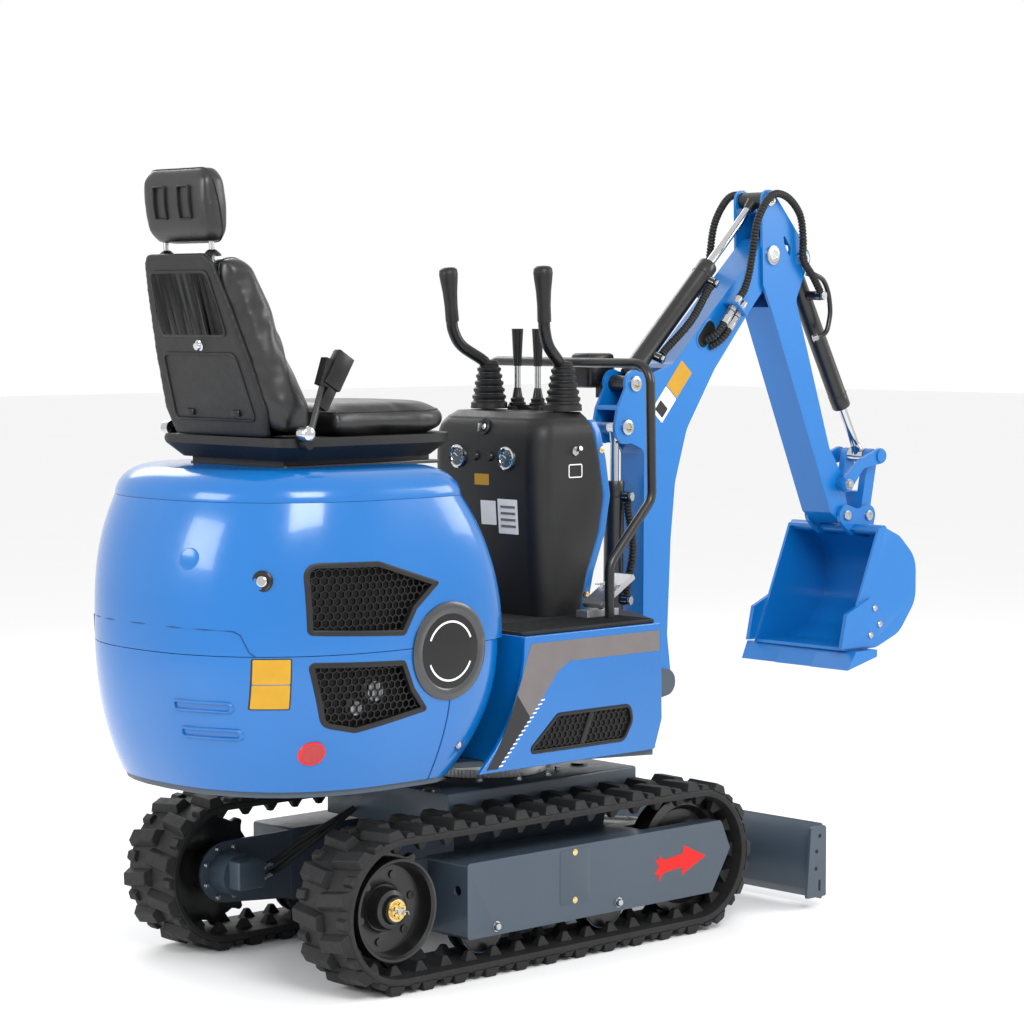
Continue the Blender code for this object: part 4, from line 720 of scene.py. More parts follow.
def build_track_frame(side, word):
    """Channel frame with its cover outline, bolts, screws and arrow."""
    refined(f"track_frame_{word}", "slate_enamel", 0.0022, 30)
    face = side * 0.3985
    out = Vector((0.0, side, 0.0))
    bm = bmesh.new()
    for x, z in ((-0.194, 0.1145), (0.212, 0.1145)):
        bolt(bm, at(x, face, z), out, 0.011, 0.009)
    finish_piece(f"frame_bolts_{word}", bm, "undercarriage", "zinc_plate", 30, 0.0005)
    bm = bmesh.new()
    for z in (0.141, 0.257):
        lathe(bm, ((0.0, 0.0028), (0.004, 0.003), (0.008, 0.0016), (0.0088, -0.0005)), at(0.062, face, z),
              out, 24)
    finish_piece(f"cover_screws_{word}", bm, "undercarriage", "brass")
    bm = bmesh.new()
    cover = rounded([(0.012, 0.132, 0.010), (0.112, 0.132, 0.010), (0.112, 0.266, 0.010),
                     (0.012, 0.266, 0.010)])
    prism(bm, [at(p.x, face - side * 0.0008, p.y) for p in cover], (0.0, side * 0.0018, 0.0), 0.0006)
    finish_piece(f"idler_cover_{word}", bm, "undercarriage", "slate_enamel")
    bm = bmesh.new()
    arrow = ((0.352, 0.146), (0.368, 0.166), (0.436, 0.172), (0.434, 0.152), (0.520, 0.190), (0.440, 0.226),
             (0.438, 0.206), (0.366, 0.198), (0.356, 0.212), (0.350, 0.198), (0.338, 0.204), (0.352, 0.182),
             (0.336, 0.168), (0.350, 0.164))
    prism(bm, [at(x, face + side * 0.0001, z) for x, z in arrow], (0.0, side * 0.0004, 0.0))
    finish_piece(f"arrow_{word}", bm, "undercarriage", "decal_red")
    for index, x in enumerate((-0.194, 0.212)):
        finish_piece(f"roller_skin_{index}_{word}", shaped(lathe, ((0.0, -0.026), (0.066, -0.026), (0.0712,
                -0.022), (0.0712, -0.010), (0.052, -0.007), (0.052, 0.007), (0.0712, 0.010), (0.0712, 0.022),
                (0.066, 0.026), (0.0, 0.026)), at(x, side * TRACK_Y, AXLE_Z - BELT_INNER + 0.0718), out, 56),
                "undercarriage", "black_enamel", 30)


def build_idler(side, word):
    """Smooth front wheel and its axle."""
    out = Vector((0.0, side, 0.0))
    bm = bmesh.new()
    lathe(bm, ((0.0, -0.034), (0.040, -0.034), (0.048, -0.010), (0.112, -0.008), (0.124, -0.025),
               (0.147, -0.025),
               (0.147, 0.025), (0.124, 0.025), (0.112, 0.008), (0.048, 0.010), (0.040, 0.034), (0.0, 0.034)),
          at(AXLE_X, side * TRACK_Y, AXLE_Z), out, 72)
    rod(bm, at(AXLE_X, side * 0.2558, AXLE_Z), at(AXLE_X, side * 0.3922, AXLE_Z), 0.020)
    finish_piece(f"front_wheel_{word}", bm, "undercarriage", "black_enamel", 30, 0.0, (f"idler_{word}",))


def build_travel_motor(side, word):
    """Travel motor with its bolt ring and port fittings."""
    refined(f"travel_motor_{word}", "slate_enamel", 0.002, 30)
    face = side * 0.2512
    inboard = Vector((0.0, -side, 0.0))
    bm = bmesh.new()
    for index in range(8):
        angle = 2 * math.pi * (index + 0.5) / 8
        bolt(bm, at(-AXLE_X + 0.064 * math.cos(angle), face - side * 0.0016,
                    AXLE_Z + 0.064 * math.sin(angle)),
             inboard, 0.0065, 0.006)
    for z in (0.012, -0.014):
        start = at(-AXLE_X + 0.044, side * 0.185, AXLE_Z + z)
        rod(bm, start, start + Vector((0.026, 0.0, 0.004)), 0.0095, segments=6)
        rod(bm, start + Vector((0.024, 0.0, 0.004)), start + Vector((0.044, 0.0, 0.008)), 0.0075, segments=16)
    finish_piece(f"motor_fittings_{word}", bm, "undercarriage", "zinc_plate", 30, 0.0004)
    for index, z in enumerate((0.012, -0.014)):
        start = at(-AXLE_X + 0.084, side * 0.185, AXLE_Z + z + 0.008)
        route = smooth_route([start, start + Vector((0.030, -side * 0.004, 0.012)),
                              start + Vector((0.078, -side * 0.024, 0.048)),
                              start + Vector((0.130, -side * 0.050, 0.080 + 0.010 * index)),
                              at(-0.195, side * 0.115, 0.330)], 5)
        tube_piece(f"motor_hose_{index}_{word}", route, 0.0075, "undercarriage", "hose_wrap")


def build_slewing():
    """Table, toothed slew ring and its bolts."""
    refined("chassis", "slate_enamel", 0.003, 30)
    bm = bmesh.new()
    middle = at(0.130, 0.0, 0.405)
    count = 96
    inner = bmesh.ops.create_circle(bm, segments=count * 2, radius=0.158)["verts"]
    for index, vert in enumerate(inner):
        reach = 0.160 if index % 2 == 0 else 0.1545
        angle = 2 * math.pi * index / (count * 2)
        vert.co = middle + Vector((reach * math.cos(angle), reach * math.sin(angle), 0.002))
    face = bm.faces.new(inner)
    made = bmesh.ops.extrude_face_region(bm, geom=[face])["geom"]
    bmesh.ops.translate(bm, vec=(0, 0, 0.018), verts=vertices_of(made))
    bmesh.ops.recalc_face_normals(bm, faces=bm.faces)
    lathe(bm, ((0.0, 0.033), (0.140, 0.033), (0.150, 0.031), (0.151, 0.018), (0.0, 0.018)), middle, (0, 0, 1),
          64)
    finish_piece("slew_teeth", bm, "undercarriage", "turned_steel", 30, 0.0, ("slew_ring",))
    bm = bmesh.new()
    for index in range(12):
        angle = 2 * math.pi * (index + 0.5) / 12
        bolt(bm, middle + Vector((0.188 * math.cos(angle), 0.188 * math.sin(angle), 0.0)), (0, 0, 1), 0.009,
             0.008)
    finish_piece("table_bolts", bm, "undercarriage", "zinc_plate")
    bm = bmesh.new()
    for x, y in ((-0.185, -0.16), (-0.185, 0.16), (0.36, -0.11), (0.36, 0.11)):
        rod(bm, at(x, y, 0.4045), at(x, y, 0.410), 0.022, 0.020, 32)
    finish_piece("table_caps", bm, "undercarriage", "black_enamel")


def build_blade():
    """Dozer blade with its wear edge, painted shade in its end plate holes, and pins."""
    refined("dozer_blade", "slate_enamel", 0.0018, 30)
    build_cylinder("blade_cylinder", (0.415, 0.0, 0.235), (0.845, 0.0, 0.165), 0.270)
    # Near-black discs and slots on the end plates are painted shade, standing in for the dark inside of the
    # holes.
    bm = bmesh.new()
    for side in (-1, 1):
        for x, z in ((0.940, 0.190), (0.928, 0.150), (0.926, 0.105)):
            rod(bm, at(x, side * 0.4128, z), at(x, side * 0.4140, z), 0.0055, segments=20)
        prism(bm, [at(p.x, side * 0.4128, p.y) for p in rounded(
            [(0.936, 0.045, 0.003), (0.944, 0.045, 0.003), (0.944, 0.075, 0.003), (0.936, 0.075, 0.003)])],
            (0.0, side * 0.0010, 0.0))
    finish_piece("blade_end_hole_shade", bm, "blade", "deep_black")
    bm = bmesh.new()
    for side in (-1, 1):
        for y in (0.132, 0.168):
            cap_pin(bm, at(0.470, side * y, 0.160), (0, 1 if y > 0.15 else -1, 0) if side > 0 else
                    (0, -1 if y > 0.15 else 1, 0), 0.013, 0.006)
    finish_piece("blade_pins", bm, "blade", "zinc_plate")


# ---------------------------------------------------------------- cylinders
# how far a cylinder's base eye and its rod's eye reach each side
EYE_HALVES = {"blade_cylinder": (0.031, 0.015), "boom_cylinder": (0.043, 0.033),
              "arm_cylinder": (0.033, 0.043), "bucket_cylinder": (0.043, 0.027)}
BOOM_CYLINDER = ((0.590, 0.0, 0.600), (0.598, 0.0, 1.250))
ARM_CYLINDER = ((0.628, 0.0, 1.362), (1.134, 0.0, 1.849))


def build_cylinder(word, base, eye, length):
    """Smooth barrel with a gland ring and weld beads, and its polished rod with an eye."""
    base = at(*base)
    eye = at(*eye)
    along = (eye - base).normalized()
    base_half, eye_half = EYE_HALVES[word]
    bm = bmesh.new()
    lathe(bm, ((0.0, 0.022), (0.018, 0.022), (0.0255, 0.030), (0.0255, 0.034), (0.0262, 0.036),
               (0.0258, 0.039),
               (0.0258, length - 0.034), (0.0264, length - 0.032), (0.0264, length - 0.004), (0.0245, length),
               (0.0135, length), (0.0125, length - 0.006), (0.0, length - 0.006)), base, along, 56)
    rod(bm, base - Vector((0.0, base_half, 0.0)), base + Vector((0.0, base_half, 0.0)), 0.0215, segments=40)
    for ring in (length - 0.040, 0.046):
        lathe(bm, ((0.0255, ring - 0.0022), (0.0272, ring - 0.001), (0.0272, ring + 0.001),
                   (0.0255, ring + 0.0022)),
              base, along, 48)
    for spot, side, reach in PORTS.get(word, ()):
        root = base + along * spot
        side = Vector(side)
        rod(bm, root + side * 0.018, root + side * (reach - 0.006), 0.0125, segments=24)
    finish_piece(f"{word}_tube", bm, body_of(f"{word}_barrel"), "black_enamel", 35, 0.0, (f"{word}_barrel",))
    bm = bmesh.new()
    rod(bm, base + along * (length * 0.56), eye - along * 0.012, 0.012, segments=40)
    rod(bm, eye - Vector((0.0, eye_half, 0.0)), eye + Vector((0.0, eye_half, 0.0)), 0.0205, segments=40)
    rod(bm, eye - along * 0.036, eye - along * 0.012, 0.0135, 0.018, 40)
    finish_piece(f"{word}_bar", bm, body_of(f"{word}_rod"), "bright_chrome", 35, 0.0, (f"{word}_rod",))
    if PORTS.get(word):
        bm = bmesh.new()
        for spot, side, reach in PORTS[word]:
            root = base + along * spot
            side = Vector(side)
            rod(bm, root + side * (reach - 0.012), root + side * reach, 0.0125, segments=6)
            rod(bm, root + side * (reach - 0.026), root + side * (reach - 0.012), 0.0135, segments=6)
        finish_piece(f"{word}_unions", bm, body_of(f"{word}_barrel"), "zinc_plate", 30, 0.0006)


BOOM_PORT = (0.287, -0.958, 0.0)
ARM_PORT = (0.416, -0.800, -0.432)
PORTS = {
    "boom_cylinder": ((0.200, BOOM_PORT, 0.054), (0.470, BOOM_PORT, 0.054)),
    "arm_cylinder": ((0.120, ARM_PORT, 0.054), (0.405, ARM_PORT, 0.054)),
    "bucket_cylinder": ((0.115, (0.0, -1.0, 0.0), 0.084), (0.115, (0.0, 1.0, 0.0), 0.084)),
}


# ---------------------------------------------------------------- hood
HOOD_SEGMENTS = 160
HOOD_WALL = 0.006
FRONT_POWER = 1 / 3
REAR_POWER = 2 / 2.4
TAIL_X = -0.925
TAIL_CENTRE_X = -0.500
HOUSE_FLOOR = 0.480
WAIST_Z = 0.840
BONNET_SEAM = 0.790
CAP_SEAM = 1.127
CAP_TOP = 1.195


def hood_plan(z):
    """Half width, rear end and front end of the hood at a height."""
    if z > WAIST_Z:
        wall = 0.055 * ((z - WAIST_Z) / (CAP_SEAM - WAIST_Z)) ** 2.6
    else:
        wall = 0.070 * ((WAIST_Z - z) / (WAIST_Z - HOUSE_FLOOR)) ** 2.6
    if z > BONNET_SEAM:
        front = -0.105 - 0.105 * ((z - BONNET_SEAM) / 0.320) ** 2
    else:
        front = -0.121 - 0.146 * max(0.0, (BONNET_SEAM - z) / (BONNET_SEAM - HOUSE_FLOOR)) ** 2.4
    return HALF_WIDTH - 0.6 * wall, TAIL_X + wall, front


def hood_point(angle, z, inset=0.0):
    """A point of the hood's plan section at an angle and height."""
    half, rear, front = hood_plan(z)
    cosine = math.cos(angle)
    sine = math.sin(angle)
    power = FRONT_POWER if cosine > 0 else REAR_POWER
    reach = (front - inset - TAIL_CENTRE_X) if cosine > 0 else (rear + inset - TAIL_CENTRE_X)
    aside = (half - inset) * math.copysign(abs(sine) ** power, sine)
    return at(TAIL_CENTRE_X + reach * abs(cosine) ** power, aside, z)


def flank(x, z, side, offset=0.0):
    """The point of the hood's flank that is beside x and z, pushed out by an offset."""
    half, rear, front = hood_plan(z)
    power = FRONT_POWER if x > TAIL_CENTRE_X else REAR_POWER
    end = front if x > TAIL_CENTRE_X else rear
    share = min(0.9999, abs((x - TAIL_CENTRE_X) / (end - TAIL_CENTRE_X)))
    cosine = share ** (1 / power)
    y = half * (1 - cosine * cosine) ** (power / 2)
    return at(x, side * (y + offset), z)


def tail(y, z, offset=0.0):
    """The point of the hood's round tail that is behind y and z."""
    half, rear, _ = hood_plan(z)
    sine = min(0.9999, abs(y / half)) ** (1 / REAR_POWER)
    x = TAIL_CENTRE_X + (rear - TAIL_CENTRE_X) * (1 - sine * sine) ** (REAR_POWER / 2)
    return at(x - offset, y, z)


def hood_skin(name, low, high, node, levels, holes=()):
    """One storey of the hood as a smooth shell with its grille holes cut."""
    bm = bmesh.new()
    count = HOOD_SEGMENTS
    rings = []
    for level in range(levels + 1):
        z = low + (high - low) * level / levels
        ring = bmesh.ops.create_circle(bm, segments=count, radius=1.0)["verts"]
        for index, vert in enumerate(ring):
            vert.co = hood_point(2 * math.pi * index / count, z)
        rings.append(ring)
    bridged(bm, rings)
    bmesh.ops.recalc_face_normals(bm, faces=bm.faces)
    if bm.faces[0].normal.dot(bm.faces[0].calc_center_median() - at(TAIL_CENTRE_X, 0, (low + high) / 2)) < 0:
        bmesh.ops.reverse_faces(bm, faces=bm.faces)
    piece = finish_piece(name, bm, "house", "azure_enamel", 40)
    wall = piece.modifiers.new("wall", "SOLIDIFY")
    wall.thickness = HOOD_WALL
    wall.offset = -1.0
    wall.use_even_offset = True
    applied(piece)
    cutters = []
    for side in (-1, 1):
        for hole in holes:
            bm = bmesh.new()
            prism(bm, [at(p.x, side * 0.18, p.y) for p in rounded(hole, 8)], (0.0, side * 0.30, 0.0))
            cutter = placed("cutter", mesh_of("cutter", bm))
            cutters.append(cutter)
            step = piece.modifiers.new("hole", "BOOLEAN")
            step.solver = "EXACT"
            step.operation = "DIFFERENCE"
            step.object = cutter
    if cutters:
        applied(piece)
        for cutter in cutters:
            bpy.data.objects.remove(cutter, do_unlink=True)
    piece.data.shade_smooth()
    piece.data.set_sharp_from_angle(angle=math.radians(40))
    edge = piece.modifiers.new("edge", "BEVEL")
    edge.width = 0.0012
    edge.segments = 2
    edge.limit_method = "ANGLE"
    edge.angle_limit = math.radians(50)
    edge.harden_normals = True
    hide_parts(node)


UPPER_GRILLE = ((-0.735, 0.837, 0.012), (-0.490, 0.823, 0.012), (-0.455, 0.880, 0.02), (-0.384, 0.936, 0.004),
                (-0.560, 0.992, 0.030), (-0.740, 0.995, 0.030))
LOWER_GRILLE = ((-0.735, 0.775, 0.012), (-0.700, 0.630, 0.030), (-0.620, 0.612, 0.030),
                (-0.415, 0.646, 0.006), (-0.460, 0.700, 0.02), (-0.490, 0.765, 0.010))


def inside(outline, x, z):
    """Whether a 2-D point is inside an outline."""
    hit = False
    for first, second in zip(outline, outline[1:] + outline[:1]):
        if (first.y > z) != (second.y > z):
            if x < (second.x - first.x) * (z - first.y) / (second.y - first.y) + first.x:
                hit = not hit
    return hit


def honeycomb(bm, outline, size, wall, push, drape):
    """Hexagon cells inside an outline, each a thin-walled ring, laid on a surface."""
    xs = [p.x for p in outline]
    zs = [p.y for p in outline]
    wide = size * math.sqrt(3)
    row = 0
    z = min(zs) - size
    made = []
    while z < max(zs) + size:
        x = min(xs) - wide + (wide / 2 if row % 2 else 0.0)
        while x < max(xs) + wide:
            if inside(outline, x, z):
                ring = bmesh.ops.create_circle(bm, segments=6, radius=size, cap_ends=True)["verts"]
                for index, vert in enumerate(ring):
                    angle = math.pi / 6 + index * math.pi / 3
                    vert.co = Vector((x + size * math.cos(angle), 0.0, z + size * math.sin(angle)))
                made += ring
            x += wide
        z += size * 1.5
        row += 1
    bmesh.ops.remove_doubles(bm, verts=made, dist=size * 0.05)
    made = [vert for vert in made if vert.is_valid]
    faces = list({face for vert in made for face in vert.link_faces})
    bmesh.ops.inset_individual(bm, faces=faces, thickness=wall)
    bmesh.ops.delete(bm, geom=[face for face in faces if face.is_valid], context="FACES_ONLY")
    extruded = bmesh.ops.extrude_face_region(bm, geom=list(bm.faces))["geom"]
    back = set(vertices_of(extruded))
    for vert in bm.verts:
        vert.co = drape(vert.co.x, vert.co.z, -push if vert in back else 0.0)
    bmesh.ops.recalc_face_normals(bm, faces=bm.faces)


def band(bm, outline, width, lift, depth, drape):
    """A raised rim that follows an outline on a surface, made of four bridged loops."""
    count = len(outline)
    centre = Vector((sum(p.x for p in outline) / count, sum(p.y for p in outline) / count))
    rings = []
    for inset, height in ((-0.001, -depth), (-0.001, lift * 0.6), (width * 0.2, lift), (width * 0.8, lift),
                          (width, lift * 0.5), (width, -depth)):
        ring = bmesh.ops.create_circle(bm, segments=count, radius=1.0)["verts"]
        for index, vert in enumerate(ring):
            point = outline[index]
            ahead = (outline[(index + 1) % count] - outline[index - 1]).normalized()
            normal = Vector((-ahead.y, ahead.x))
            if normal.dot(centre - point) < 0:
                normal = -normal
            spot = point + normal * inset
            vert.co = drape(spot.x, spot.y, height)
        rings.append(ring)
    bridged(bm, rings, rings[:1])
    bmesh.ops.recalc_face_normals(bm, faces=bm.faces)


def dense(outline, gap=0.008):
    """The same outline with points no further apart than a gap."""
    result = []
    for first, second in zip(outline, outline[1:] + outline[:1]):
        steps = max(1, math.ceil((second - first).length / gap))
        result += [first.lerp(second, step / steps) for step in range(steps)]
    return result


def film(bm, outline, drape, lift, cells):
    """A thin decal laid on a curved surface: a flat grid that is cut, then draped and thickened."""
    xs = [p.x for p in outline]
    zs = [p.y for p in outline]
    bm.faces.new([bm.verts.new((p.x, 0.0, p.y)) for p in outline])
    for low, high, normal in ((min(xs), max(xs), Vector((1, 0, 0))), (min(zs), max(zs), Vector((0, 0, 1)))):
        for step in range(1, cells):
            value = low + (high - low) * step / cells
            point = Vector((value, 0, 0)) if normal.x else Vector((0, 0, value))
            bmesh.ops.bisect_plane(bm, geom=list(bm.verts) + list(bm.edges) + list(bm.faces), plane_co=point,
                                   plane_no=normal, dist=1e-6)
    made = bmesh.ops.extrude_face_region(bm, geom=list(bm.faces))["geom"]
    top = set(vertices_of(made))
    for vert in bm.verts:
        vert.co = drape(vert.co.x, vert.co.z, lift if vert in top else -0.0006)
    bmesh.ops.recalc_face_normals(bm, faces=bm.faces)


def build_hood():
    """Smooth bonnet, lower cover and seat deck."""
    hood_skin("bonnet_skin", BONNET_SEAM + 0.0008, CAP_SEAM - 0.0008, "engine_bonnet", 28, (UPPER_GRILLE,))
    hood_skin("lower_skin", HOUSE_FLOOR + 0.0003, BONNET_SEAM - 0.0008, "lower_cover", 26, (LOWER_GRILLE,))
    bm = bmesh.new()
    count = HOOD_SEGMENTS
    rings = []
    for share in (0.0, 0.06, 0.2, 0.4, 0.6, 0.75, 0.87, 0.95, 0.985, 1.0):
        z = CAP_SEAM + (CAP_TOP - CAP_SEAM) * share
        inset = 0.085 * (1 - math.sqrt(1 - (share * 0.985) ** 2))
        ring = bmesh.ops.create_circle(bm, segments=count, radius=1.0)["verts"]
        for index, vert in enumerate(ring):
            spot = hood_point(2 * math.pi * index / count, CAP_SEAM, inset)
            vert.co = Vector((spot.x, spot.y, z))
        rings.append(ring)
    bridged(bm, rings)
    bm.faces.new(rings[-1])
    bm.faces.new(rings[0])
    bmesh.ops.recalc_face_normals(bm, faces=bm.faces)
    finish_piece("deck_skin", bm, "house", "azure_enamel", 50, 0.0, ("seat_deck",))
    refined("house_deck", "slate_enamel", 0.002)
    refined("engine_block", "cast_metal", 0.004)


# ---------------------------------------------------------------- laying things on a surface
TREES = {}


def touch(node, origin, direction):
    """Where a ray first meets a CAD node, and the way its surface faces there."""
    if node not in TREES:
        bm = bmesh.new()
        bm.from_mesh(frame["nodes"][node].data)
        bm.transform(frame["nodes"][node].matrix_world)
        TREES[node] = BVHTree.FromBMesh(bm)
        bm.free()
    place, facing, _, _ = TREES[node].ray_cast(Vector(origin), Vector(direction).normalized())
    if place is None:
        raise ValueError(f"nothing of {node} lies that way")
    if facing.dot(Vector(direction)) > 0:
        facing = -facing
    return place, facing


def box_outline(low_x, low_z, high_x, high_z, corner=0.0, steps=4):
    """A box's outline with round corners."""
    return rounded([(low_x, low_z, corner), (high_x, low_z, corner), (high_x, high_z, corner),
                    (low_x, high_z, corner)], steps)


def disc_outline(x, z, radius, count=40):
    """A disc's round outline."""
    angles = [2 * math.pi * step / count for step in range(count)]
    return [Vector((x + radius * math.cos(angle), z + radius * math.sin(angle))) for angle in angles]


def decal(name, outline, drape, body, look, lift=0.0006, cells=6):
    """A thin film on a surface, as a piece of its own: a printed mark, or a dark sheet of painted shade."""
    finish_piece(name, shaped(film, outline, drape, lift, cells), body, look, 40)


# ---------------------------------------------------------------- hood details
def build_hood_details():
    """Grilles with painted shade behind them, badge, lock, stickers, reflectors, seams and pressed slots."""
    refined("boom_bracket", "slate_enamel", 0.002)
    for side, word in SIDES:
        def skin(x, z, offset, side=side):
            return flank(x, z, side, offset)

        for height, hole in (("upper", UPPER_GRILLE), ("lower", LOWER_GRILLE)):
            outline = rounded(hole, 5)
            finish_piece(f"{height}_mesh_{word}", shaped(honeycomb, outline, 0.0105, 0.0013, 0.006, lambda x,
                    z, off, skin=skin: skin(x, z, off - 0.006)), "house", "smooth_plastic", 30)
            finish_piece(f"{height}_rim_{word}", shaped(band, dense(outline), 0.011, 0.0022, 0.009, skin),
                    "house", "grained_plastic", 40)
            # A near-black sheet set deep behind each grille is painted shade for the dark inside of the hood.
            decal(f"{height}_shade_{word}", dense(outline, 0.03), lambda x, z, off,
                  skin=skin: skin(x, z, off - 0.034), "house", "deep_black", 0.001, 4)
        bm = bmesh.new()
        for x, z, size in ((-0.610, 0.665, 0.020), (-0.560, 0.700, 0.028)):
            rod(bm, skin(x, z, -0.032), skin(x, z, -0.014), size, size * 0.8, 32)
        finish_piece(f"engine_caps_{word}", bm, "house", "cast_metal", 30, 0.001)

        badge = (-0.354, 0.776)
        finish_piece(f"badge_ring_{word}", shaped(band, disc_outline(*badge, 0.112, 96), 0.026, 0.0065, 0.003,
                skin), "house", "grey_dish", 50)
        decal(f"badge_{word}", disc_outline(*badge, 0.088, 64), skin, "house", "smooth_plastic", 0.0035, 12)
        for index, start in enumerate((0.42, 0.42 + math.pi)):
            arc = [Vector((badge[0] + radius * math.cos(start + 2.3 * step / 24),
                           badge[1] + radius * math.sin(start + 2.3 * step / 24)))
                   for radius, span in ((0.070, range(25)), (0.0655, range(24, -1, -1))) for step in span]
            decal(f"badge_arc_{index}_{word}", arc, skin, "house", "sticker_white", 0.0044, 8)

        for row, low, high in (("upper", 0.729, 0.784), ("lower", 0.674, 0.727)):
            decal(f"label_{row}_{word}", box_outline(-0.832, low, -0.768, high, 0.003), skin, "house",
                  "sticker_yellow", 0.0008, 6)
        finish_piece(f"label_edge_{word}", shaped(band, dense(box_outline(-0.8335, 0.6725, -0.7665, 0.7855,
                0.003)), 0.0012, 0.0010, 0.0, skin), "house", "stripe_black", 40)

        finish_piece(f"reflector_rim_{word}", shaped(band, disc_outline(-0.713, 0.570, 0.026, 48), 0.003,
                0.0050, 0.001, skin), "house", "cap_red", 40)
        decal(f"reflector_{word}", disc_outline(-0.713, 0.570, 0.0245), skin, "house", "reflector_red",
              0.0042, 6)

        tube_piece(f"cover_seam_{word}", [skin(-0.348 - 0.037 * (step / 14) ** 1.5, 0.663 - 0.186 * step / 14,
                                               0.0002)
                                          for step in range(15)], 0.0016, "house", "seam_line")
        # The bolt's seat wears the darker seam blue as painted shade for the dimple the bolt sits in.
        spot = skin(-0.302, 0.552, 0.0)
        finish_piece(f"bolt_seat_{word}", shaped(lathe, ((0.0, 0.0006), (0.010, 0.0006), (0.013, 0.0012),
                (0.0155, -0.001)), spot, (0, side, 0), 32), "house", "seam_line", 30)
        finish_piece(f"cover_bolt_{word}", shaped(bolt, spot, (0.0, side, 0.0), 0.0075, 0.005), "house",
                "zinc_plate", 30, 0.0003)

    spot = flank(-0.814, 0.957, -1)
    facing = (spot - at(TAIL_CENTRE_X + 0.12, 0.0, 0.957)).normalized()
    finish_piece("lock_seat", shaped(lathe, ((0.0, 0.0015), (0.017, 0.0015), (0.021, 0.003), (0.024, 0.001),
            (0.024, -0.008)), spot, facing, 40), "house", "smooth_plastic", 30)
    finish_piece("lock_barrel", shaped(lathe, ((0.0, 0.006), (0.009, 0.006), (0.012, 0.004), (0.012, 0.0)),
            spot, facing, 32), "house", "bright_chrome", 30)
    tube_piece("tail_seam", [tail(y, z, 0.0006) for y, z in ((-0.300, 0.7905), (-0.290, 0.800),
                                                             (-0.275, 0.838),
                                                            (-0.262, 0.846), (-0.20, 0.848), (-0.12, 0.849),
                                                            (0.0, 0.850), (0.12, 0.849), (0.20, 0.848),
                                                            (0.262, 0.846), (0.275, 0.838), (0.290, 0.800),
                                                            (0.300, 0.7905))], 0.0014, "house", "seam_line")
    spot = tail(-0.154, 1.000)
    finish_piece("tail_disc", shaped(lathe, ((0.0, 0.002), (0.022, 0.0025), (0.026, 0.001), (0.027, -0.006)),
            spot, (-0.93, -0.35, 0.08), 48), "house", "azure_enamel", 30)
    for index, (y, z) in enumerate(((-0.183, 0.675), (-0.193, 0.614))):
        finish_piece(f"tail_press_{index}", shaped(band, dense(box_outline(y - 0.072, z - 0.012, y + 0.072,
                z + 0.012, 0.011)), 0.0052, 0.0060, 0.001, tail), "house", "azure_enamel", 40)


# ---------------------------------------------------------------- platform
SKIRT_GRILLE = ((-0.115, 0.512, 0.010), (0.215, 0.512, 0.030), (0.245, 0.560, 0.030), (0.235, 0.600, 0.020),
                (-0.010, 0.600, 0.020))
STRIPE = ((0.336, 0.722), (0.336, 0.772), (-0.096, 0.772), (-0.112, 0.735), (-0.128, 0.690), (-0.158, 0.620),
          (-0.200, 0.540), (-0.240, 0.488), (-0.205, 0.488), (-0.070, 0.630), (-0.010, 0.700), (0.030, 0.722))
STRIPE_TAIL = ((-0.142, 0.655), (-0.158, 0.620), (-0.200, 0.540), (-0.240, 0.488), (-0.205, 0.488),
               (-0.100, 0.598))


def build_platform():
    """Platform, mat, skirts with their stripes, and grilles with painted shade behind them."""
    refined("platform", "azure_enamel", 0.003)
    refined("floor_mat", "mat_rubber", 0.0015)
    low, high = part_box("floor_mat")
    bm = bmesh.new()
    rows = 44
    for row in range(rows):
        x = low[0] + 0.012 + (high[0] - low[0] - 0.024) * row / (rows - 1)
        for start, end in ((low[1] + 0.012, -0.215), (0.215, high[1] - 0.012)):
            if end > start and x < at(0.33, 0, 0).x:
                block(bm, (x - 0.0018, start, high[2] - 0.0005), (x + 0.0018, end, high[2] + 0.0014), 0.0007,
                      1)
    finish_piece("mat_ribs", bm, "house", "mat_rubber")
    for side, word in SIDES:
        refined(f"side_skirt_{word}", "azure_enamel", 0.004)

        def skin(x, z, offset, side=side):
            return at(x, side * (HALF_WIDTH + offset), z)

        stripe = [Vector(point) for point in STRIPE]
        decal(f"stripe_{word}", stripe, skin, "house", "stripe_grey", 0.0005, 3)
        decal(f"stripe_tail_{word}", [Vector(point) for point in STRIPE_TAIL], skin, "house", "stripe_black",
              0.0009, 2)
        bm = bmesh.new()
        for step in range(16):
            x = -0.202 + 0.0072 * step * 1.25
            z = 0.492 + 0.0072 * step * 1.32
            prism(bm, [skin(x, z, 0.0002), skin(x + 0.012, z + 0.001, 0.0002), skin(x + 0.014, z + 0.004,
                                                                                    0.0002),
                       skin(x + 0.002, z + 0.003, 0.0002)], (0.0, side * 0.0009, 0.0))
        finish_piece(f"stripe_dashes_{word}", bm, "house", "sticker_white", 40)
        outline = rounded(SKIRT_GRILLE, 5)
        finish_piece(f"skirt_mesh_{word}", shaped(honeycomb, outline, 0.0100, 0.0012, 0.004, lambda x, z, off,
                skin=skin: skin(x, z, off - 0.0042)), "house", "smooth_plastic", 30)
        bm = bmesh.new()
        prism(bm, [skin(0.060, 0.509, -0.0086), skin(0.076, 0.509, -0.0086), skin(0.118, 0.602, -0.0086),
                   skin(0.102, 0.602, -0.0086)], (0.0, side * 0.0070, 0.0), 0.001)
        finish_piece(f"skirt_bar_{word}", bm, "house", "smooth_plastic")
        # A near-black sheet behind the skirt grille is painted shade for the dark space inside the skirt.
        decal(f"skirt_shade_{word}", outline, lambda x, z, off, skin=skin: skin(x, z, off - 0.0084), "house",
              "deep_black", 0.0006, 3)
        finish_piece(f"skirt_rim_{word}", shaped(band, dense(outline), 0.007, 0.0012, 0.008, skin), "house",
                "smooth_plastic", 40)


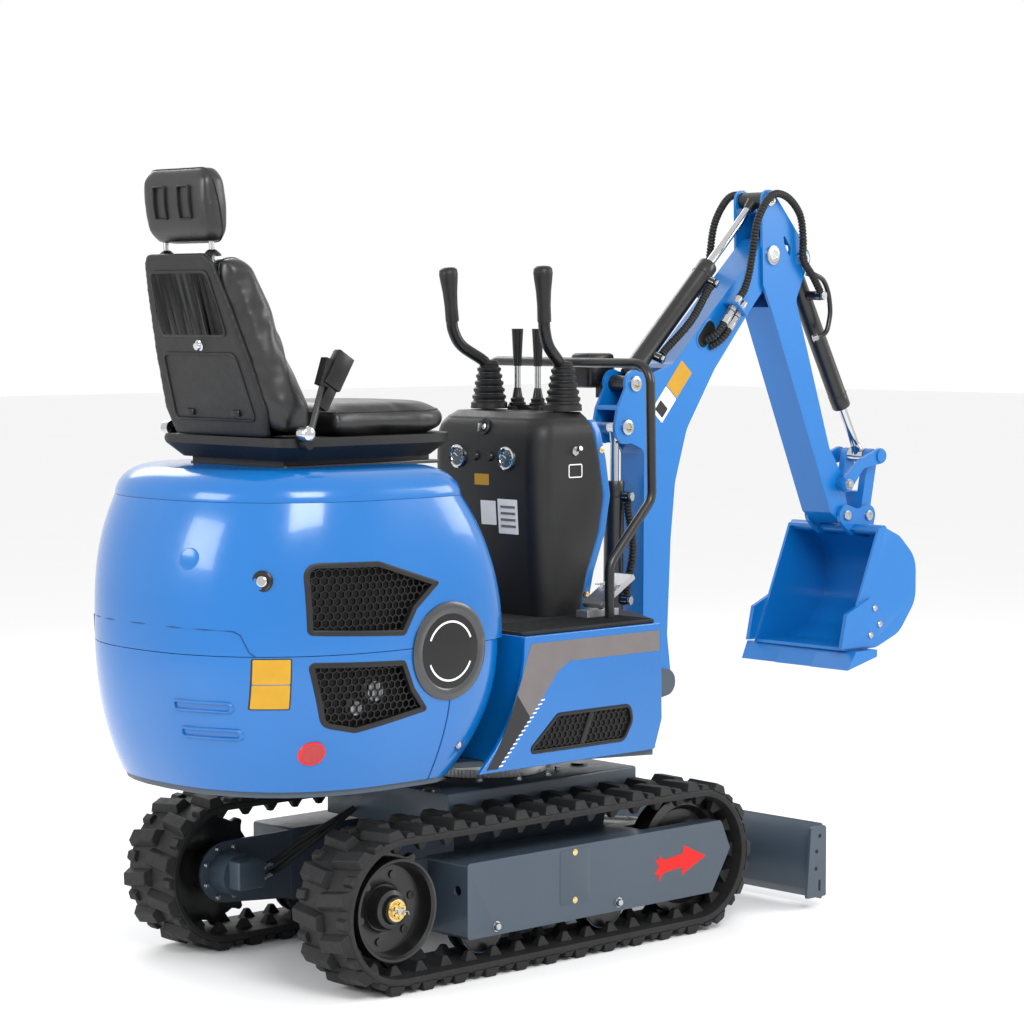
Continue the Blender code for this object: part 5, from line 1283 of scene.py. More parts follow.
# ---------------------------------------------------------------- console
CONSOLE = ((0.799, 0.158, 0.285, 0.192), (0.90, 0.148, 0.308, 0.194), (1.00, 0.138, 0.345, 0.198),
           (1.09, 0.132, 0.360, 0.200), (1.18, 0.130, 0.345, 0.200), (1.25, 0.134, 0.326, 0.200),
           (1.28, 0.146, 0.318, 0.190), (1.300, 0.172, 0.310, 0.168))


CONSOLE_CORNER = 0.050
MARK_REACH = 0.0165
WELT_RADIUS = 0.0022
WELT_STEP = 0.006
SEAT_FRAMES = 20


def console_plan(z):
    """Rear, front and half width of the console at a height."""
    for first, second in zip(CONSOLE, CONSOLE[1:]):
        if z <= second[0]:
            share = (z - first[0]) / (second[0] - first[0])
            return [start + (end - start) * share for start, end in zip(first[1:], second[1:])]
    return list(CONSOLE[-1][1:])


def build_console():
    """Smooth console with gauges, buttons, key, labels and screws."""
    bm = bmesh.new()
    rings = []
    for index, row in enumerate(CONSOLE[:-1]):
        steps = 8
        for step in range(steps + (1 if index == len(CONSOLE) - 2 else 0)):
            z = row[0] + (CONSOLE[index + 1][0] - row[0]) * step / steps
            nearby = [console_plan(min(CONSOLE[-1][0], max(CONSOLE[0][0], z + shift)))
                      for shift in (-0.012, -0.006, 0.0, 0.006, 0.012)]
            rear, front, half = (sum(values) / 5 for values in zip(*nearby))
            if z > 1.285 or z < 0.805:
                rear, front, half = console_plan(z)
            outline = rounded([(rear, -half, CONSOLE_CORNER), (front, -half, 0.010), (front, half, 0.010),
                               (rear, half, CONSOLE_CORNER)], 8)
            ring = bmesh.ops.create_circle(bm, segments=len(outline), radius=1.0)["verts"]
            for vert, point in zip(ring, outline):
                vert.co = at(point.x, point.y, z)
            rings.append(ring)
    bridged(bm, rings)
    bm.faces.new(rings[0])
    bm.faces.new(rings[-1])
    bmesh.ops.recalc_face_normals(bm, faces=bm.faces)
    finish_piece("console_skin", bm, "house", "grained_plastic", 50, 0.0, ("console",))
    refined("console_panel", "azure_enamel", 0.006)

    def rear(y, z, offset):
        edge = max(0.0, abs(y) - (console_plan(z)[2] - CONSOLE_CORNER))
        inward = math.sqrt(max(0.0, CONSOLE_CORNER ** 2 - edge ** 2))
        return at(console_plan(z)[0] - offset + CONSOLE_CORNER - inward, y, z)

    bm = bmesh.new()
    faces = bmesh.new()
    for y in (-0.089, 0.089):
        spot = rear(y, 1.187, 0.0)
        lathe(bm, ((0.021, 0.001), (0.0225, 0.006), (0.026, 0.008), (0.029, 0.006), (0.030, -0.004)), spot,
              (-1, 0, 0), 56)
        lathe(faces, ((0.0, 0.004), (0.0225, 0.003), (0.0225, -0.002)), spot, (-1, 0, 0), 40)
    finish_piece("gauge_rims", bm, "house", "bright_chrome", 40)
    finish_piece("gauge_faces", faces, "house", "gauge_face", 40)
    bm = bmesh.new()
    marks = bmesh.new()
    for y in (-0.089, 0.089):
        spot = rear(y, 1.187, 0.0042)
        for step in range(9):
            angle = math.radians(-40 + step * 32.5)
            tick = spot + Vector((0.0, MARK_REACH * math.cos(angle), MARK_REACH * math.sin(angle)))
            rod(marks, tick + Vector((0.001, 0, 0)), tick - Vector((0.0004, 0, 0)), 0.0010, segments=8)
        rod(marks, spot, spot + Vector((-0.0006, 0.011, 0.008)), 0.0008, segments=6)
    finish_piece("gauge_marks", marks, "house", "sticker_white")
    for y, z in ((-0.027, 1.190), (0.026, 1.190)):
        spot = rear(y, z, 0.0)
        lathe(bm, ((0.0, 0.007), (0.009, 0.007), (0.0105, 0.005), (0.012, 0.002), (0.013, -0.003)), spot,
              (-1, 0, 0), 32)
    spot = rear(0.0, 1.262, -0.002)
    lathe(bm, ((0.0, 0.002), (0.010, 0.002), (0.011, 0.006), (0.020, 0.007), (0.0215, -0.006)), spot,
          (-0.97, 0, 0.24), 40)
    finish_piece("console_buttons", bm, "house", "smooth_plastic")
    bm = bmesh.new()
    block(bm, spot + Vector((-0.026, -0.0015, -0.010)), spot + Vector((-0.004, 0.0015, 0.010)), 0.001)
    rod(bm, spot, spot + Vector((-0.007, 0.0, 0.0018)), 0.008)
    finish_piece("key", bm, "house", "zinc_plate", 30, 0.0003)
    for label, box, look in (("yellow", (-0.022, 1.118, 0.030, 1.146), "sticker_yellow"),
                             ("large", (-0.122, 1.000, -0.052, 1.086), "sticker_white"),
                             ("small", (-0.044, 1.020, 0.010, 1.080), "sticker_white")):
        decal(f"console_label_{label}", box_outline(*box, 0.002), rear, "house", look)
    bm = bmesh.new()
    for y, z in ((-0.045, 1.070), (-0.045, 1.054), (-0.045, 1.038), (-0.045, 1.022)):
        block(bm, rear(-0.114, z - 0.006, 0.0004) + Vector((0.0002, 0, 0)), rear(-0.062, z, 0.0012))
    finish_piece("label_rows", bm, "house", "stripe_grey")
    bm = bmesh.new()
    for x, z in ((0.352, 1.205), (0.306, 0.845)):
        for side in (-1, 1):
            place, facing = touch("console_panel", at(x, side * 0.4, z), (0, -side, 0))
            lathe(bm, ((0.0, 0.0035), (0.004, 0.0035), (0.0085, 0.0018), (0.009, -0.001)), place, facing, 24)
    finish_piece("panel_screws", bm, "house", "brass")
    bm = bmesh.new()
    spot = at(0.255, -0.2000, 1.205)
    rod(bm, spot, spot + Vector((0.0, -0.004, 0.0)), 0.012, segments=6)
    rod(bm, spot, spot + Vector((0.0, -0.022, 0.008)), 0.0042, 0.0055, 20)
    finish_piece("side_switch", bm, "house", "bright_chrome", 30, 0.0003)

    def beside(x, z, offset):
        return at(x, -0.2000 - offset, z)

    finish_piece("side_symbol", shaped(band, dense(box_outline(0.235, 1.140, 0.280, 1.172, 0.004)), 0.0018,
            0.0006, 0.0, beside), "house", "sticker_white", 30)


def build_controls():
    """Joysticks with bellows, travel levers, pedal and handrail."""
    for side, word in SIDES:
        bend = at(0.183, side * 0.167, 1.503)
        top = at(0.171, side * 0.173, 1.660)
        neck = at(0.268, side * 0.137, 1.400)
        tube_piece(f"joystick_stem_{word}", smooth_route([neck, neck + Vector((-0.006, 0.0, 0.022)),
                   at(0.205, side * 0.159, 1.462), bend, bend.lerp(top, 0.25)], 6), 0.0148, "house",
                   "smooth_plastic", ring=8)
        bm = bmesh.new()
        reach = (top - bend).length
        lathe(bm, ((0.0, 0.020), (0.0165, 0.020), (0.0172, 0.024), (0.0168, 0.060), (0.0188, 0.095),
                   (0.0225, 0.125),
                   (0.0240, 0.140), (0.0228, 0.151), (0.0170, reach - 0.0015), (0.0080, reach), (0.0, reach)),
              bend, top - bend, 40)
        finish_piece(f"joystick_grip_{word}", bm, "house", "grained_plastic", 50, 0.0, (f"joystick_{word}",))
        base = at(0.278, side * 0.135, 1.3025)
        profile = [(0.0, 0.0), (0.047, 0.0), (0.047, 0.006)]
        for tier in range(6):
            radius = 0.0465 - 0.0032 * tier
            foot = 0.006 + 0.0175 * tier
            profile += [(radius, foot + 0.003), (radius, foot + 0.009), (radius - 0.006, foot + 0.013),
                        (radius - 0.0065, foot + 0.0165)]
        profile += [(0.026, 0.113), (0.020, 0.122), (0.0, 0.124)]
        finish_piece(f"bellows_{word}", shaped(lathe, profile, base, (0, 0, 1), 48), "house", "boot_rubber",
                     45)
    refined("travel_levers", "smooth_plastic", 0.0012)
    bm = bmesh.new()
    for y in (0.013, 0.088):
        rod(bm, at(0.333, y, 1.300), at(0.333, y, 1.418), 0.0078, segments=28)
    finish_piece("lever_sleeves", bm, "house", "bright_chrome")
    bm = bmesh.new()
    for y in (0.013, 0.088):
        lathe(bm, ((0.0, 0.0), (0.026, 0.0), (0.026, 0.006), (0.021, 0.010), (0.022, 0.016), (0.017, 0.020),
                   (0.018, 0.027), (0.0135, 0.031), (0.0085, 0.036), (0.0, 0.036)), at(0.333, y, 1.300),
              (0, 0, 1), 36)
    finish_piece("lever_boots", bm, "house", "boot_rubber", 40)
    refined("pedal", "cast_metal", 0.0015)
    low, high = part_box("pedal")
    bm = bmesh.new()
    for step in range(7):
        y = low[1] + 0.008 + (high[1] - low[1] - 0.016) * step / 6
        place, facing = touch("pedal", Vector(((low[0] + high[0]) / 2 + 0.03, y, 2.0)), (0, 0, -1))
        rod(bm, place + Vector((-0.030, 0, 0.001)), place + Vector((0.030, 0, 0.001)), 0.0018, segments=10)
    finish_piece("pedal_ribs", bm, "house", "cast_metal")
    refined("handrail", "black_enamel", 0.0, 60)


# ---------------------------------------------------------------- seat
def melted(piece, cell, rounds):
    """Rebuilds a piece from even cells and smooths its corners away."""
    cells = piece.modifiers.new("cells", "REMESH")
    cells.mode = "VOXEL"
    cells.voxel_size = cell
    smoothed(piece, rounds)


def smoothed(piece, rounds):
    """Evens out a piece's surface, and keeps the result."""
    soften = piece.modifiers.new("soften", "SMOOTH")
    soften.factor = 0.5
    soften.iterations = rounds
    applied(piece)


def dressed(piece, look):
    """Gives a piece one finish and smooth shading."""
    piece.data.materials.clear()
    piece.data.materials.append(LOOKS[look])
    piece.data.shade_smooth()
    return piece


def soft_pad(node, name, settings, shrink, cap):
    """Pumps a slightly smaller copy of a pad up as cloth, then keeps it as a mesh."""
    bm = bmesh.new()
    bm.from_mesh(frame["nodes"][node].data)
    bmesh.ops.remove_doubles(bm, verts=bm.verts, dist=WELD)
    bmesh.ops.recalc_face_normals(bm, faces=bm.faces)
    low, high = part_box(node)
    middle = (Vector(low) + Vector(high)) / 2
    size = Vector(high) - Vector(low)
    for vert in bm.verts:
        away = vert.co - middle
        vert.co = middle + Vector([away[axis] * (1 - 2 * shrink / size[axis]) for axis in range(3)])
    piece = placed(name, mesh_of(name, bm))
    melted(piece, settings.cushion_step, 10)
    start = [vert.co.copy() for vert in piece.data.vertices]
    cloth = piece.modifiers.new("cloth", "CLOTH")
    cloth.settings.quality = 5
    cloth.settings.mass = 0.3
    cloth.settings.tension_stiffness = 15.0
    cloth.settings.compression_stiffness = 15.0
    cloth.settings.shear_stiffness = 5.0
    cloth.settings.bending_stiffness = 12.0
    cloth.settings.use_pressure = True
    cloth.settings.uniform_pressure_force = settings.cushion_pressure
    cloth.settings.effector_weights.gravity = 0.0
    cloth.point_cache.frame_start = 1
    cloth.point_cache.frame_end = SEAT_FRAMES
    for number in range(1, SEAT_FRAMES + 1):
        bpy.context.scene.frame_set(number)
    applied(piece)
    bpy.context.scene.frame_set(1)
    for vert, old in zip(piece.data.vertices, start):
        move = vert.co - old
        if move.length > cap:
            vert.co = old + move.normalized() * cap
    smoothed(piece, 24)
    finer = piece.modifiers.new("finer", "SUBSURF")
    finer.levels = 1
    finer.render_levels = 1
    applied(piece)
    dressed(piece, "seat_vinyl")
    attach(piece, "house")
    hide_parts(node)
    return piece


def softened(node, look, cell, rounds):
    """A moulded shell: a CAD node's copy with its corners melted round."""
    piece = refined(node, look, 0.0)
    melted(piece, cell, rounds)
    dressed(piece, look)


def welt(piece, name, point, normal, keep=None):
    """A sewn seam where a plane cuts a pad's surface."""
    bm = bmesh.new()
    bm.from_mesh(piece.data)
    made = bmesh.ops.bisect_plane(bm, geom=list(bm.verts) + list(bm.edges) + list(bm.faces), dist=1e-6,
                                  plane_co=point, plane_no=Vector(normal).normalized())["geom_cut"]
    edges = [item for item in made if isinstance(item, bmesh.types.BMEdge)]
    links = {}
    for edge in edges:
        for vert in edge.verts:
            links.setdefault(vert, []).append(edge.other_vert(vert))
    best = []
    seen = set()
    for first in links:
        if first in seen:
            continue
        chain = [first]
        seen.add(first)
        while True:
            ahead = [vert for vert in links[chain[-1]] if vert not in seen]
            if not ahead:
                break
            seen.add(ahead[0])
            chain.append(ahead[0])
        if len(chain) > len(best):
            best = chain
    route = [vert.co.copy() for vert in best]
    bm.free()
    if keep is not None:
        route = [place for place in route if keep(place)]
    else:
        route.append(route[0])
    thin = [route[0]]
    for place in route[1:]:
        if (place - thin[-1]).length > WELT_STEP:
            thin.append(place)
    tube_piece(name, thin, WELT_RADIUS, "house", "smooth_plastic", ring=2)


def build_seat(settings):
    """Soft cushion, back and headrest with their covers and fittings."""
    refined("seat_pan", "shell_plastic", 0.004)
    softened("seat_back_panel", "shell_plastic", 0.0045, 30)
    cushion, back, head = (soft_pad(node, name, settings, 0.009, cap)
                           for node, name, cap in (("seat_cushion", "cushion_pad", 0.013),
                                                   ("seat_back", "back_pad", 0.013), ("headrest", "head_pad",
                                                                                      0.012)))
    welt(cushion, "cushion_welt", at(-0.33, 0.0, 1.318), (0.0, 0.0, 1.0))
    welt(head, "head_welt", at(-0.781, 0.0, 1.79), (1.0, 0.0, 0.27))
    for side, word in SIDES:
        welt(back, f"back_welt_{word}", at(-0.70, side * 0.145, 1.45), (0.0, side, 0.12),
             keep=lambda place: place.z > 1.30 and place.x > at(-0.76 - 0.28 * (place.z - 1.264), 0, 0).x)
        bm = bmesh.new()
        rod(bm, at(-0.7735, side * 0.085, 1.655), at(-0.7770, side * 0.085, 1.725), 0.0062, segments=28)
        finish_piece(f"rest_post_{word}", bm, "house", "turned_steel", 30, 0.0, (f"headrest_post_{word}",))
        finish_piece(f"post_collar_{word}", shaped(lathe, ((0.0, 0.0), (0.021, 0.0), (0.020, 0.005), (0.011,
                0.014), (0.0068, 0.016), (0.0, 0.016)), at(-0.7740, side * 0.085, 1.672), (-0.05, 0, 1), 28),
                "house", "smooth_plastic", 40)
        refined(f"belt_buckle_{word}", "smooth_plastic", 0.0025)
        bm = bmesh.new()
        for low_x, high_x, low_z, high_z, half, corner in ((-0.581, -0.531, 1.372, 1.458, 0.013, 0.004),
                                                           (-0.600, -0.572, 1.325, 1.385, 0.008, 0.003)):
            block(bm, at(low_x, side * 0.258 - half, low_z), at(high_x, side * 0.258 + half, high_z), corner,
                  2, Matrix.Rotation(0.546, 4, "Y"))
        finish_piece(f"buckle_block_{word}", bm, "house", "smooth_plastic")
        bm = bmesh.new()
        spot = at(-0.644, side * 0.262, 1.275)
        lathe(bm, ((0.0, 0.010), (0.010, 0.0095), (0.016, 0.006), (0.018, 0.0), (0.018, -0.02)), spot,
              (0, side, 0), 36)
        finish_piece(f"recline_cap_{word}", bm, "house", "bright_chrome")
    low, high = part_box("seat_pan")
    bm = bmesh.new()
    for side in (-1, 1):
        y = side * 0.165
        block(bm, (low[0] + 0.05, y - 0.014, low[2] - 0.0045), (high[0] - 0.06, y + 0.014, low[2] + 0.004),
              0.002)
    finish_piece("seat_rails", bm, "house", "black_enamel")

    def panel(y, z, offset):
        place, facing = touch("seat_back_panel", at(-1.6, y, z), (1, 0, 0))
        return place + facing * offset

    bm = bmesh.new()
    band(bm, dense(rounded([(-0.122, 1.492, 0.015), (0.122, 1.492, 0.015), (0.108, 1.640, 0.02),
                            (-0.108, 1.640, 0.02)], 5), 0.012), 0.006, 0.0035, 0.001, panel)
    band(bm, dense(rounded([(-0.150, 1.300, 0.015), (0.150, 1.300, 0.015), (0.135, 1.455, 0.02),
                            (-0.135, 1.455, 0.02)], 5), 0.012), 0.006, 0.0035, 0.001, panel)
    finish_piece("back_frames", bm, "house", "shell_plastic", 40)

    def pocket(y, z, offset):
        place, facing = touch("seat_back_panel", at(-1.6, math.copysign(0.128, y), z), (1, 0, 0))
        return Vector((place.x, y, z)) + facing * (offset - 0.0015)

    decal("back_pocket", box_outline(-0.110, 1.494, 0.110, 1.634, 0.020), pocket, "house", "shell_plastic",
          0.001, 6)
    bm = bmesh.new()
    spot, facing = touch("seat_back_panel", at(-1.6, -0.010, 1.472), (1, 0, 0))
    lathe(bm, ((0.0, 0.012), (0.008, 0.0115), (0.0105, 0.008), (0.009, 0.003), (0.013, 0.001),
               (0.013, -0.002)), spot,
          facing, 32)
    finish_piece("back_knob", bm, "house", "bright_chrome")
    bm = bmesh.new()
    for y in (-0.085, 0.085):
        spot, facing = touch("seat_back_panel", at(-1.6, y, 1.318), (1, 0, 0))
        block(bm, spot - Vector((0.006, 0.014, 0.007)), spot + Vector((0.004, 0.014, 0.007)), 0.002)
    finish_piece("back_clips", bm, "house", "smooth_plastic")

    def rest_rear(y, z, offset):
        place, facing = touch("headrest", at(-1.6, y, z), (1, 0, 0))
        return place + facing * (offset - 0.004)

    bm = bmesh.new()
    for y in (-0.045, 0.045):
        band(bm, dense(box_outline(y - 0.021, 1.755, y + 0.021, 1.830, 0.004)), 0.003, 0.0042, 0.004,
             rest_rear)
    finish_piece("head_recesses", bm, "house", "shell_plastic", 40)


# ---------------------------------------------------------------- boom and arm
BOOM_FACE = 0.0432
ARM_FACE = 0.0522


def both_pins(name, body, x, z, half, radius, height, look, nipple=False):
    """A pin's two visible ends, with a grease nipple where there is one."""
    bm = bmesh.new()
    for side in (-1, 1):
        cap_pin(bm, at(x, side * half, z), (0, side, 0), radius, height)
    finish_piece(name, bm, body, look, 30)
    if nipple:
        bm = bmesh.new()
        for side in (-1, 1):
            spot = at(x + radius * 0.2, side * (half + height * 0.6), z - radius * 0.2)
            lathe(bm, ((0.0, 0.010), (0.0022, 0.010), (0.0030, 0.008), (0.0018, 0.006), (0.0040, 0.003),
                       (0.0044, -0.001)), spot, (0, side, 0), 16)
        finish_piece(f"{name}_nipples", bm, body, "brass")


def build_boom():
    """Boom with its cylinders, pins, stickers, a slot of painted shade, bulkhead and lamp."""
    refined("boom", "boom_enamel", 0.0018)
    refined("work_lamp", "smooth_plastic", 0.003)
    build_cylinder("boom_cylinder", *BOOM_CYLINDER, 0.510)
    build_cylinder("arm_cylinder", *ARM_CYLINDER, 0.448)
    both_pins("boom_foot_cap", "boom", 0.735, 0.576, 0.0430, 0.022, 0.007, "cap_red")
    both_pins("cylinder_foot_cap", "boom", 0.598, 1.250, BOOM_FACE, 0.020, 0.008, "zinc_plate", nipple=True)
    both_pins("arm_base_cap", "boom", 0.628, 1.362, BOOM_FACE, 0.020, 0.007, "zinc_plate", nipple=True)
    for side, word in SIDES:
        def skin(x, z, offset, side=side):
            place, _ = touch("boom", at(x, side * 0.6, z), (0, -side, 0))
            return place + Vector((0.0, side * offset, 0.0))

        def slanted(low_u, low_v, high_u, high_v, corner=0.003):
            middle = Vector((0.815, 1.395))
            along = Vector((0.66, 0.75)).normalized()
            across = Vector((-along.y, along.x))
            return [middle + along * p.x + across * p.y for p in box_outline(low_u, low_v, high_u, high_v,
                                                                             corner)]

        # The slot's near-black film is painted shade, standing in for the dark inside of the slot in the
        # boom's side.
        for mark, box, look, lift in (("label_yellow", (-0.075, -0.026, 0.012, 0.026), "sticker_yellow",
                                       0.0005),
                                      ("label_white", (-0.160, -0.026, -0.078, 0.026), "sticker_white",
                                       0.0005),
                                      ("label_dark", (-0.150, -0.018, -0.118, 0.018), "stripe_black", 0.0009),
                                      ("slot", (0.085, -0.020, 0.165, 0.020, 0.0195), "deep_black", 0.0004)):
            decal(f"boom_{mark}_{word}", slanted(*box), skin, "boom", look, lift, 3)
        finish_piece(f"boom_slot_rim_{word}", shaped(band, dense(slanted(0.080, -0.025, 0.170, 0.025, 0.0245),
                0.006), 0.005, 0.0022, 0.0005, skin), "boom", "boom_enamel", 40)
    low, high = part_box("work_lamp")
    bm = bmesh.new()
    middle = (Vector(low) + Vector(high)) / 2
    rod(bm, Vector((high[0] - 0.004, middle.y, middle.z)), Vector((high[0] + 0.002, middle.y, middle.z)),
        0.034, 0.032, 48)
    finish_piece("lamp_glass", bm, "boom", "bright_chrome")
    build_bulkhead()


HOSE_STAND = 0.041
PLATE_UP = Vector((0.664, 0.0, 0.748))
PLATE_ACROSS = Vector((0.748, 0.0, -0.664))
PLATE_CENTRE = (0.985, 0.0, 1.555)
HOSE_LANE = 0.0713
HOSE_RADIUS = 0.0105


def build_bulkhead():
    """Plate on the boom's right face, its two rows of unions, and the hoses back into the boom."""
    up = PLATE_UP
    across = PLATE_ACROSS
    middle = at(*PLATE_CENTRE)
    bm = bmesh.new()
    corners = [middle + up * a + across * b + Vector((0.0, -0.0433, 0.0))
               for a, b in ((-0.003, -0.026), (0.003, -0.026), (0.003, 0.026), (-0.003, 0.026))]
    prism(bm, corners, (0.0, -0.050, 0.0), 0.0008)
    finish_piece("bulkhead_plate", bm, "boom", "boom_enamel", 30, 0.0, ("boom_bulkhead",))
    nuts = bmesh.new()
    sleeves = bmesh.new()
    for index, shift in enumerate((-0.012, 0.012)):
        seat = middle + across * shift + Vector((0.0, -HOSE_LANE, 0.0))
        rod(nuts, seat - up * 0.018, seat - up * 0.003, 0.0122, segments=6)
        rod(nuts, seat + up * 0.003, seat + up * 0.016, 0.0122, segments=6)
        rod(sleeves, seat + up * 0.014, seat + up * 0.0335, 0.0098, segments=24)
        rod(nuts, seat - up * 0.040, seat - up * 0.020, 0.0116, segments=6)
        rod(sleeves, seat - up * 0.062, seat - up * 0.038, 0.0118, segments=28)
        route = [seat - up * 0.055, seat - up * 0.080, seat - up * 0.105 + Vector((0.0, 0.010, 0.0)),
                 seat - up * 0.124 + Vector((0.0, 0.030, 0.0))]
        wrapped(f"return_hose_{index}", route, HOSE_RADIUS, "boom", ())
    finish_piece("bulkhead_nuts", nuts, "boom", "zinc_plate", 30, 0.0005)
    finish_piece("bulkhead_sleeves", sleeves, "boom", "bright_chrome", 30, 0.0005)


def build_arm():
    """Arm with its rockers, pins and ear cap."""
    refined("arm", "boom_enamel", 0.0018)
    for word in ("left", "right"):
        refined(f"rocker_{word}", "boom_enamel", 0.0022)
    refined("bucket_link", "boom_enamel", 0.002)
    build_cylinder("bucket_cylinder", (1.272, 0.0, 1.693), (1.579, 0.0, 1.144), 0.471)
    bm = bmesh.new()
    eye = at(1.134, 0.0, 1.849)
    along = Vector((0.7205, 0.0, 0.69345))
    rod(bm, eye - Vector((0.0, 0.0425, 0.0)), eye + Vector((0.0, 0.0425, 0.0)), 0.0212, segments=40)
    rod(bm, eye - along * 0.040, eye - along * 0.012, 0.0142, 0.0190, 40)
    finish_piece("arm_rod_eye", bm, "arm_rod", "black_enamel")
    both_pins("arm_pivot_cap", "arm", 1.149, 1.700, ARM_FACE, 0.026, 0.007, "zinc_plate")
    both_pins("arm_ear_cap", "arm", 1.134, 1.849, ARM_FACE, 0.017, 0.010, "bright_chrome", nipple=True)
    both_pins("bucket_base_cap", "arm", 1.272, 1.693, ARM_FACE, 0.021, 0.009, "zinc_plate")
    bm = bmesh.new()
    for side in (-1, 1):
        place, _ = touch("rocker_left" if side > 0 else "rocker_right", at(1.437, side * 0.6, 1.070),
                         (0, -side, 0))
        bolt(bm, place, (0, side, 0), 0.013, 0.009)
    finish_piece("rocker_bolts", bm, "arm", "zinc_plate", 30, 0.0004)


def build_pipes():
    """Steel pipe and its elbow on the arm's right face."""
    route = [at(x, y, z) for x, y, z in ((1.300, -0.050, 1.655), (1.315, -0.062, 1.648),
                                         (1.345, -0.064, 1.634),
                                         (1.366, -0.064, 1.600), (1.375, -0.064, 1.553),
                                         (1.370, -0.064, 1.520),
                                         (1.360, -0.064, 1.495), (1.344, -0.060, 1.482),
                                         (1.329, -0.050, 1.476))]
    tube_piece("arm_pipe", smooth_route(route, 6), 0.0068, "arm", "black_enamel", ring=6)
    bm = bmesh.new()
    for spot, facing in ((route[0], route[1] - route[0]), (route[-1], route[-2] - route[-1])):
        facing = Vector(facing).normalized()
        rod(bm, spot - facing * 0.006, spot + facing * 0.008, 0.0105, segments=6)
    finish_piece("arm_pipe_nuts", bm, "arm", "zinc_plate", 30, 0.0004)


def wrapped(name, points, radius, body, nodes, look="hose_wrap"):
    """A hose in its spiral wrap."""
    return tube_piece(name, even_route(points, 0.0022), radius, body, look, nodes, 0.26, 4)


def port_route(base, eye, side, spots, bow):
    """A hose's route between two ports on one cylinder."""
    base = at(*base)
    along = (at(*eye) - base).normalized()
    side = Vector(side).normalized()
    low, high = spots
    return [base + along * station + side * (HOSE_STAND + push)
            for station, push in ((low + 0.0116, 0.0), (low + 0.035, 0.0), ((low + high) / 2, bow),
                                  (high - 0.035, 0.0), (high - 0.0116, 0.0))]


def build_hoses():
    """Every hose in its wrap, each run along a route between its two ends."""
    for word, ends, port, spots, bow in (("boom", BOOM_CYLINDER, BOOM_PORT, (0.200, 0.470), 0.016),
                                         ("arm", ARM_CYLINDER, ARM_PORT, (0.120, 0.405), 0.010)):
        node = f"{word}_cylinder_hose"
        wrapped(f"{word}_hose_wrap", port_route(*ends, port, spots, bow), HOSE_RADIUS, body_of(node), (node,))
    start = Vector(PLATE_CENTRE) - PLATE_ACROSS * 0.012 + PLATE_UP * 0.0306
    port = Vector((1.328, 0.0, 1.593))
    end = port + Vector((-0.35, 0.0, 0.937)) * 0.0113
    for side, word in SIDES:
        stations = ((start.x, 0.0, start.z), (start.x + 0.020, 0.0, start.z + 0.0225), (1.031, 0.002, 1.648),
                    (1.040, 0.006, 1.700), (1.060, 0.006, 1.790), (1.115, 0.004, 1.858),
                    (1.180, 0.002, 1.858), (1.237, 0.0, 1.812), (1.252, 0.0, 1.745), (1.256, -0.002, 1.690),
                    (end.x - 0.028, -0.002, end.z + 0.040), (end.x, 0.0, end.z))
        points = [at(x, side * (HOSE_LANE + push), z) for x, push, z in stations]
        piece = wrapped(f"bucket_hose_wrap_{word}", points, HOSE_RADIUS, None, (f"bucket_hose_{word}",))
        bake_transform(piece)


# ---------------------------------------------------------------- bucket
def build_bucket():
    """Bucket with its edge plates, side cutter bolts and pins."""
    refined("bucket", "boom_enamel", 0.0016)
    refined("cutting_edge", "boom_enamel", 0.0012)
    bm = bmesh.new()
    for x, z in ((1.441, 0.732), (1.463, 0.686), (1.424, 0.658)):
        for side in (-1, 1):
            place, _ = touch("bucket", at(x, side * 0.6, z), (0, -side, 0))
            lathe(bm, ((0.0, 0.0065), (0.006, 0.006), (0.009, 0.003), (0.0095, -0.001)), place, (0, side, 0),
                  24)
    finish_piece("side_cutter_bolts", bm, "bucket", "zinc_plate")
    low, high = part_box("cutting_edge")
    bm = bmesh.new()
    for step in range(5):
        y = low[1] + (high[1] - low[1]) * (0.14 + 0.18 * step)
        place, facing = touch("cutting_edge", Vector(((low[0] + high[0]) / 2, y, high[2] + 0.3)), (0, 0, -1))
        bolt(bm, place, facing, 0.0075, 0.006)
    finish_piece("edge_bolts", bm, "bucket", "boom_enamel", 30, 0.0004)
    for word, x, z in (("bucket", 1.452, 0.982), ("link", 1.545, 0.978)):
        both_pins(f"{word}_pin_caps", "bucket", x, z, body_half("bucket", x, z), 0.014, 0.006, "turned_steel")


def body_half(node, x, z):
    """How far out a node reaches beside a point."""
    place, _ = touch(node, at(x, -0.6, z), (0, 1, 0))
    return abs(place.y)


